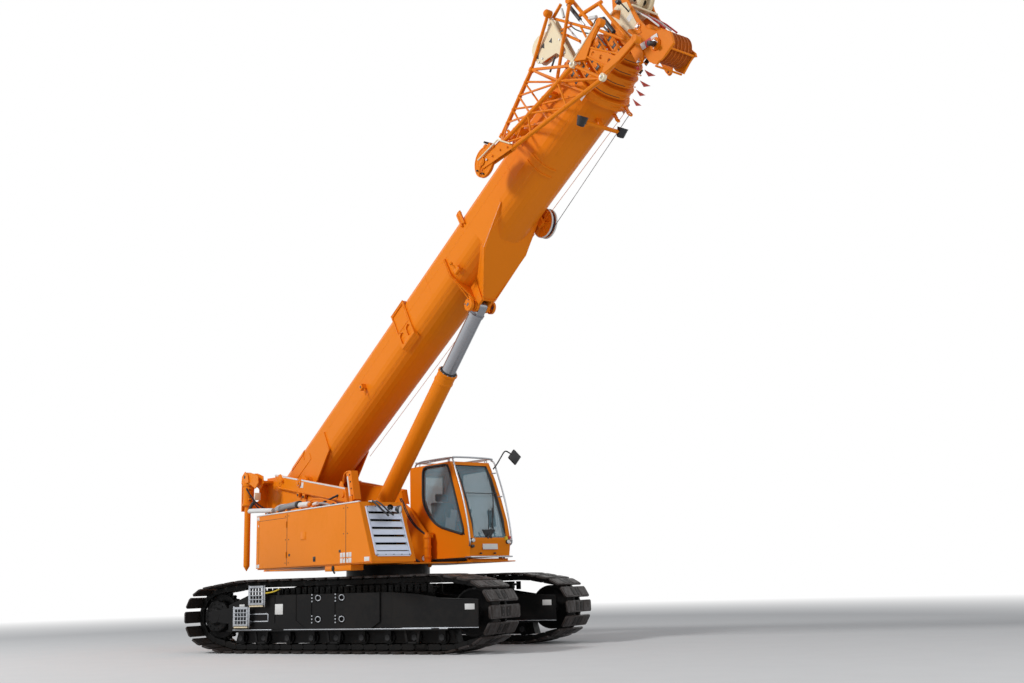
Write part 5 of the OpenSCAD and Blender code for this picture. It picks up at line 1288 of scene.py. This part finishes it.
    # Saddle on the side of the base section that carries the far chords
    for l, h in ((8.05, 0.62), (8.82, 0.52)):
        jib.block((l - 0.05, -0.53, h - 0.05), (l + 0.05, -0.395, h - 0.025), 0.006)
        jib.rod((l, -0.5, h - 0.06), (l, -0.5, h + 0.04), 0.02, 12, aluminium)
    jib.done()

    wheel = Piece("tip_sheave_trim", "jib_sheave", boom_paint, ON_BOOM)
    for side in (-1, 1):
        here, out = (7.5, -0.85 + side * 0.02, 0.43), (0, side, 0)
        wheel.lathe([(0.2, 0.0), (0.206, 0.006), (0.222, 0.006), (0.228, 0.0)], here, out, 44)
        wheel.lathe([(0.13, 0.0), (0.135, 0.004), (0.15, 0.004), (0.155, 0.0)], here, out, 36)
        for spot in circle(here, "y", 0.1, 5, 0.2):
            wheel.lathe([(0.0, 0.001), (0.03, 0.001), (0.034, 0.004), (0.04, 0.0)], spot, out, 18)
    wheel.done()


# Lift cylinder: drawn along its own axis from the foot pin
LIFT_FOOT = (-0.88, 0.0, 1.65)
LIFT_TURN = math.radians(44.04)


def dress_cylinder():
    on_lift = ON_SLEW @ Matrix.Translation(LIFT_FOOT) @ Matrix.Rotation(-LIFT_TURN, 4, "Y")
    barrel = Piece("cylinder_trim", "barrel", orange_paint, on_lift)
    barrel.lathe([(0.152, -0.2), (0.16, -0.195), (0.16, -0.16), (0.153, -0.15), (0.153, -0.03), (0.165, -0.02),
            (0.165, 0.004),
                  (0.15, 0.012), (0.125, 0.012)], (3.86, 0, 0), (1, 0, 0), 48)
    barrel.lathe([(0.119, -0.01), (0.119, 0.018), (0.14, 0.018), (0.145, 0.0)], (3.87, 0, 0), (1, 0, 0), 40, rubber)
    barrel.bolts(circle((3.872, 0, 0), "x", 0.148, 12), (1, 0, 0), 0.009, 0.012, aluminium)
    barrel.lathe([(0.151, -0.012), (0.156, -0.006), (0.156, 0.006), (0.151, 0.012)], (1.1, 0, 0), (1, 0, 0), 44)
    barrel.done()


# Finishes of the CAD nodes; the others are orange
FINISH = (
    (black_paint, "car_body slew_ring_lower slew_ring_upper track_frame_right track_frame_left sprockets idlers"),
    (track_steel, "track_right track_left"),
    (aluminium, "access_steps louvre_panel cab_rails"),
    (grey_paint, "engine hoist_drum boom_pins"),
    (glass, "cab_glass door_glass"),
    (seat_cloth, "cab_seat"),
    (lamp_black, "spotlights"),
    (ivory, "top_sheaves"),
    (chrome, "lift_rod"),
    (sheave_brown, "head_sheaves"),
    (boom_paint, "boom_base tele_1 tele_2 tele_3 tele_4 tele_5 boom_head boom_brackets jib jib_pulley cable_reel"),
)
finish_of = {node: finish for finish, nodes in FINISH for node in nodes.split()}
for node_name, cad_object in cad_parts.items():
    cad_object.data.materials.clear()
    cad_object.data.materials.append(finish_of.get(node_name, orange_paint))


dress_tracks()
dress_wheels()
dress_frames()
dress_hood()
dress_pipes()
dress_beams()
dress_cab()
dress_seat()
dress_boom()
dress_collars()
dress_head()
dress_jib()
dress_cylinder()


# Camera fitted to the photograph: place in metres, angles in radians, focal length over picture width
CAMERA_AT = (11.202, -15.964, 0.987)
PITCH, ROLL, YAW = 0.211, -0.029, -0.499
FOCAL_SHARE = 1127.3 / 1024
SENSOR_WIDTH = 36.0


def aim_camera():
    pitch, roll, yaw = PITCH, ROLL, YAW
    ahead = Vector((math.sin(yaw) * math.cos(pitch), math.cos(yaw) * math.cos(pitch), math.sin(pitch)))
    right = Vector((math.cos(yaw), -math.sin(yaw), 0.0))
    above = right.cross(ahead)
    sideways = right * math.cos(roll) + above * math.sin(roll)
    upward = above * math.cos(roll) - right * math.sin(roll)
    data = bpy.data.cameras.new("camera")
    data.sensor_fit, data.sensor_width = "HORIZONTAL", SENSOR_WIDTH
    data.lens = FOCAL_SHARE * SENSOR_WIDTH
    data.clip_end = 400.0
    camera = bpy.data.objects.new("camera", data)
    camera.matrix_world = Matrix.Translation(CAMERA_AT) @ Matrix((sideways, upward, -ahead)).transposed().to_4x4()
    bpy.context.scene.collection.objects.link(camera)
    bpy.context.scene.camera = camera


def lay_floor():
    body = bmesh.new()
    bmesh.ops.create_circle(body, cap_ends=True, radius=120.0, segments=64)
    mesh = bpy.data.meshes.new("studio floor")
    body.to_mesh(mesh)
    body.free()
    floor = bpy.data.objects.new("studio_floor", mesh)
    bpy.context.scene.collection.objects.link(floor)
    tone = Finish("pale floor")
    grain = tone.noise(2.0, 3.0, 0.5)
    across, along_floor, _ = tone.axes()
    far = tone.ramp((across * across + along_floor * along_floor).power(0.5), 14.0, 34.0)
    near = tone.blend(grain, rgb(0.66, 0.66, 0.66), rgb(0.7, 0.7, 0.7))
    seen = tone.node("ShaderNodeLightPath", output="Is Camera Ray")
    for ray in ("Is Glossy Ray", "Is Transmission Ray"):
        seen = seen.top(tone.node("ShaderNodeLightPath", output=ray))
    seen = seen * far
    tone.set(Base_Color=tone.blend(seen, near, rgb(0.0, 0.0, 0.0)), Roughness=0.95, Specular_IOR_Level=0.0,
             Emission_Color=tone.blend(seen, rgb(0.0, 0.0, 0.0), rgb(1.0, 1.0, 1.0)), Emission_Strength=1.0)
    floor.data.materials.append(tone.material)


def light_sky():
    world = bpy.data.worlds.new("soft studio")
    bpy.context.scene.world = world
    world.use_nodes = True
    tree = world.node_tree
    tree.nodes.clear()
    out = tree.nodes.new("ShaderNodeOutputWorld")
    rays = tree.nodes.new("ShaderNodeLightPath")
    mixed = tree.nodes.new("ShaderNodeMixShader")
    shown = tree.nodes.new("ShaderNodeBackground")
    shown.inputs[0].default_value, shown.inputs[1].default_value = (1, 1, 1, 1), 1.0
    lit = tree.nodes.new("ShaderNodeBackground")
    lit.inputs[0].default_value, lit.inputs[1].default_value = (0.93, 0.96, 1.0, 1), 0.42
    held = None
    for ray in ("Is Camera Ray", "Is Glossy Ray", "Is Transmission Ray"):
        step = rays.outputs[ray]
        if held is not None:
            wider = tree.nodes.new("ShaderNodeMath")
            wider.operation = "MAXIMUM"
            tree.links.new(held, wider.inputs[0])
            tree.links.new(step, wider.inputs[1])
            step = wider.outputs[0]
        held = step
    tree.links.new(held, mixed.inputs[0])
    tree.links.new(lit.outputs[0], mixed.inputs[1])
    tree.links.new(shown.outputs[0], mixed.inputs[2])
    tree.links.new(mixed.outputs[0], out.inputs[0])


def hang_lamp(name, spot, target, power, size):
    data = bpy.data.lights.new(name, "AREA")
    data.energy, data.shape, data.size = power, "DISK", size
    lamp = bpy.data.objects.new(name, data)
    toward = Vector(target) - Vector(spot)
    lamp.matrix_world = Matrix.Translation(spot) @ toward.to_track_quat("-Z", "Y").to_matrix().to_4x4()
    bpy.context.scene.collection.objects.link(lamp)


aim_camera()
lay_floor()
light_sky()
hang_lamp("key lamp", (-11.0, -18.0, 17.0), (0.0, 0.0, 3.0), 3850.0, 5.0)
hang_lamp("fill lamp", (19.0, -7.0, 8.0), (1.0, 0.0, 3.0), 650.0, 9.0)
bpy.context.scene.view_settings.view_transform = "Standard"
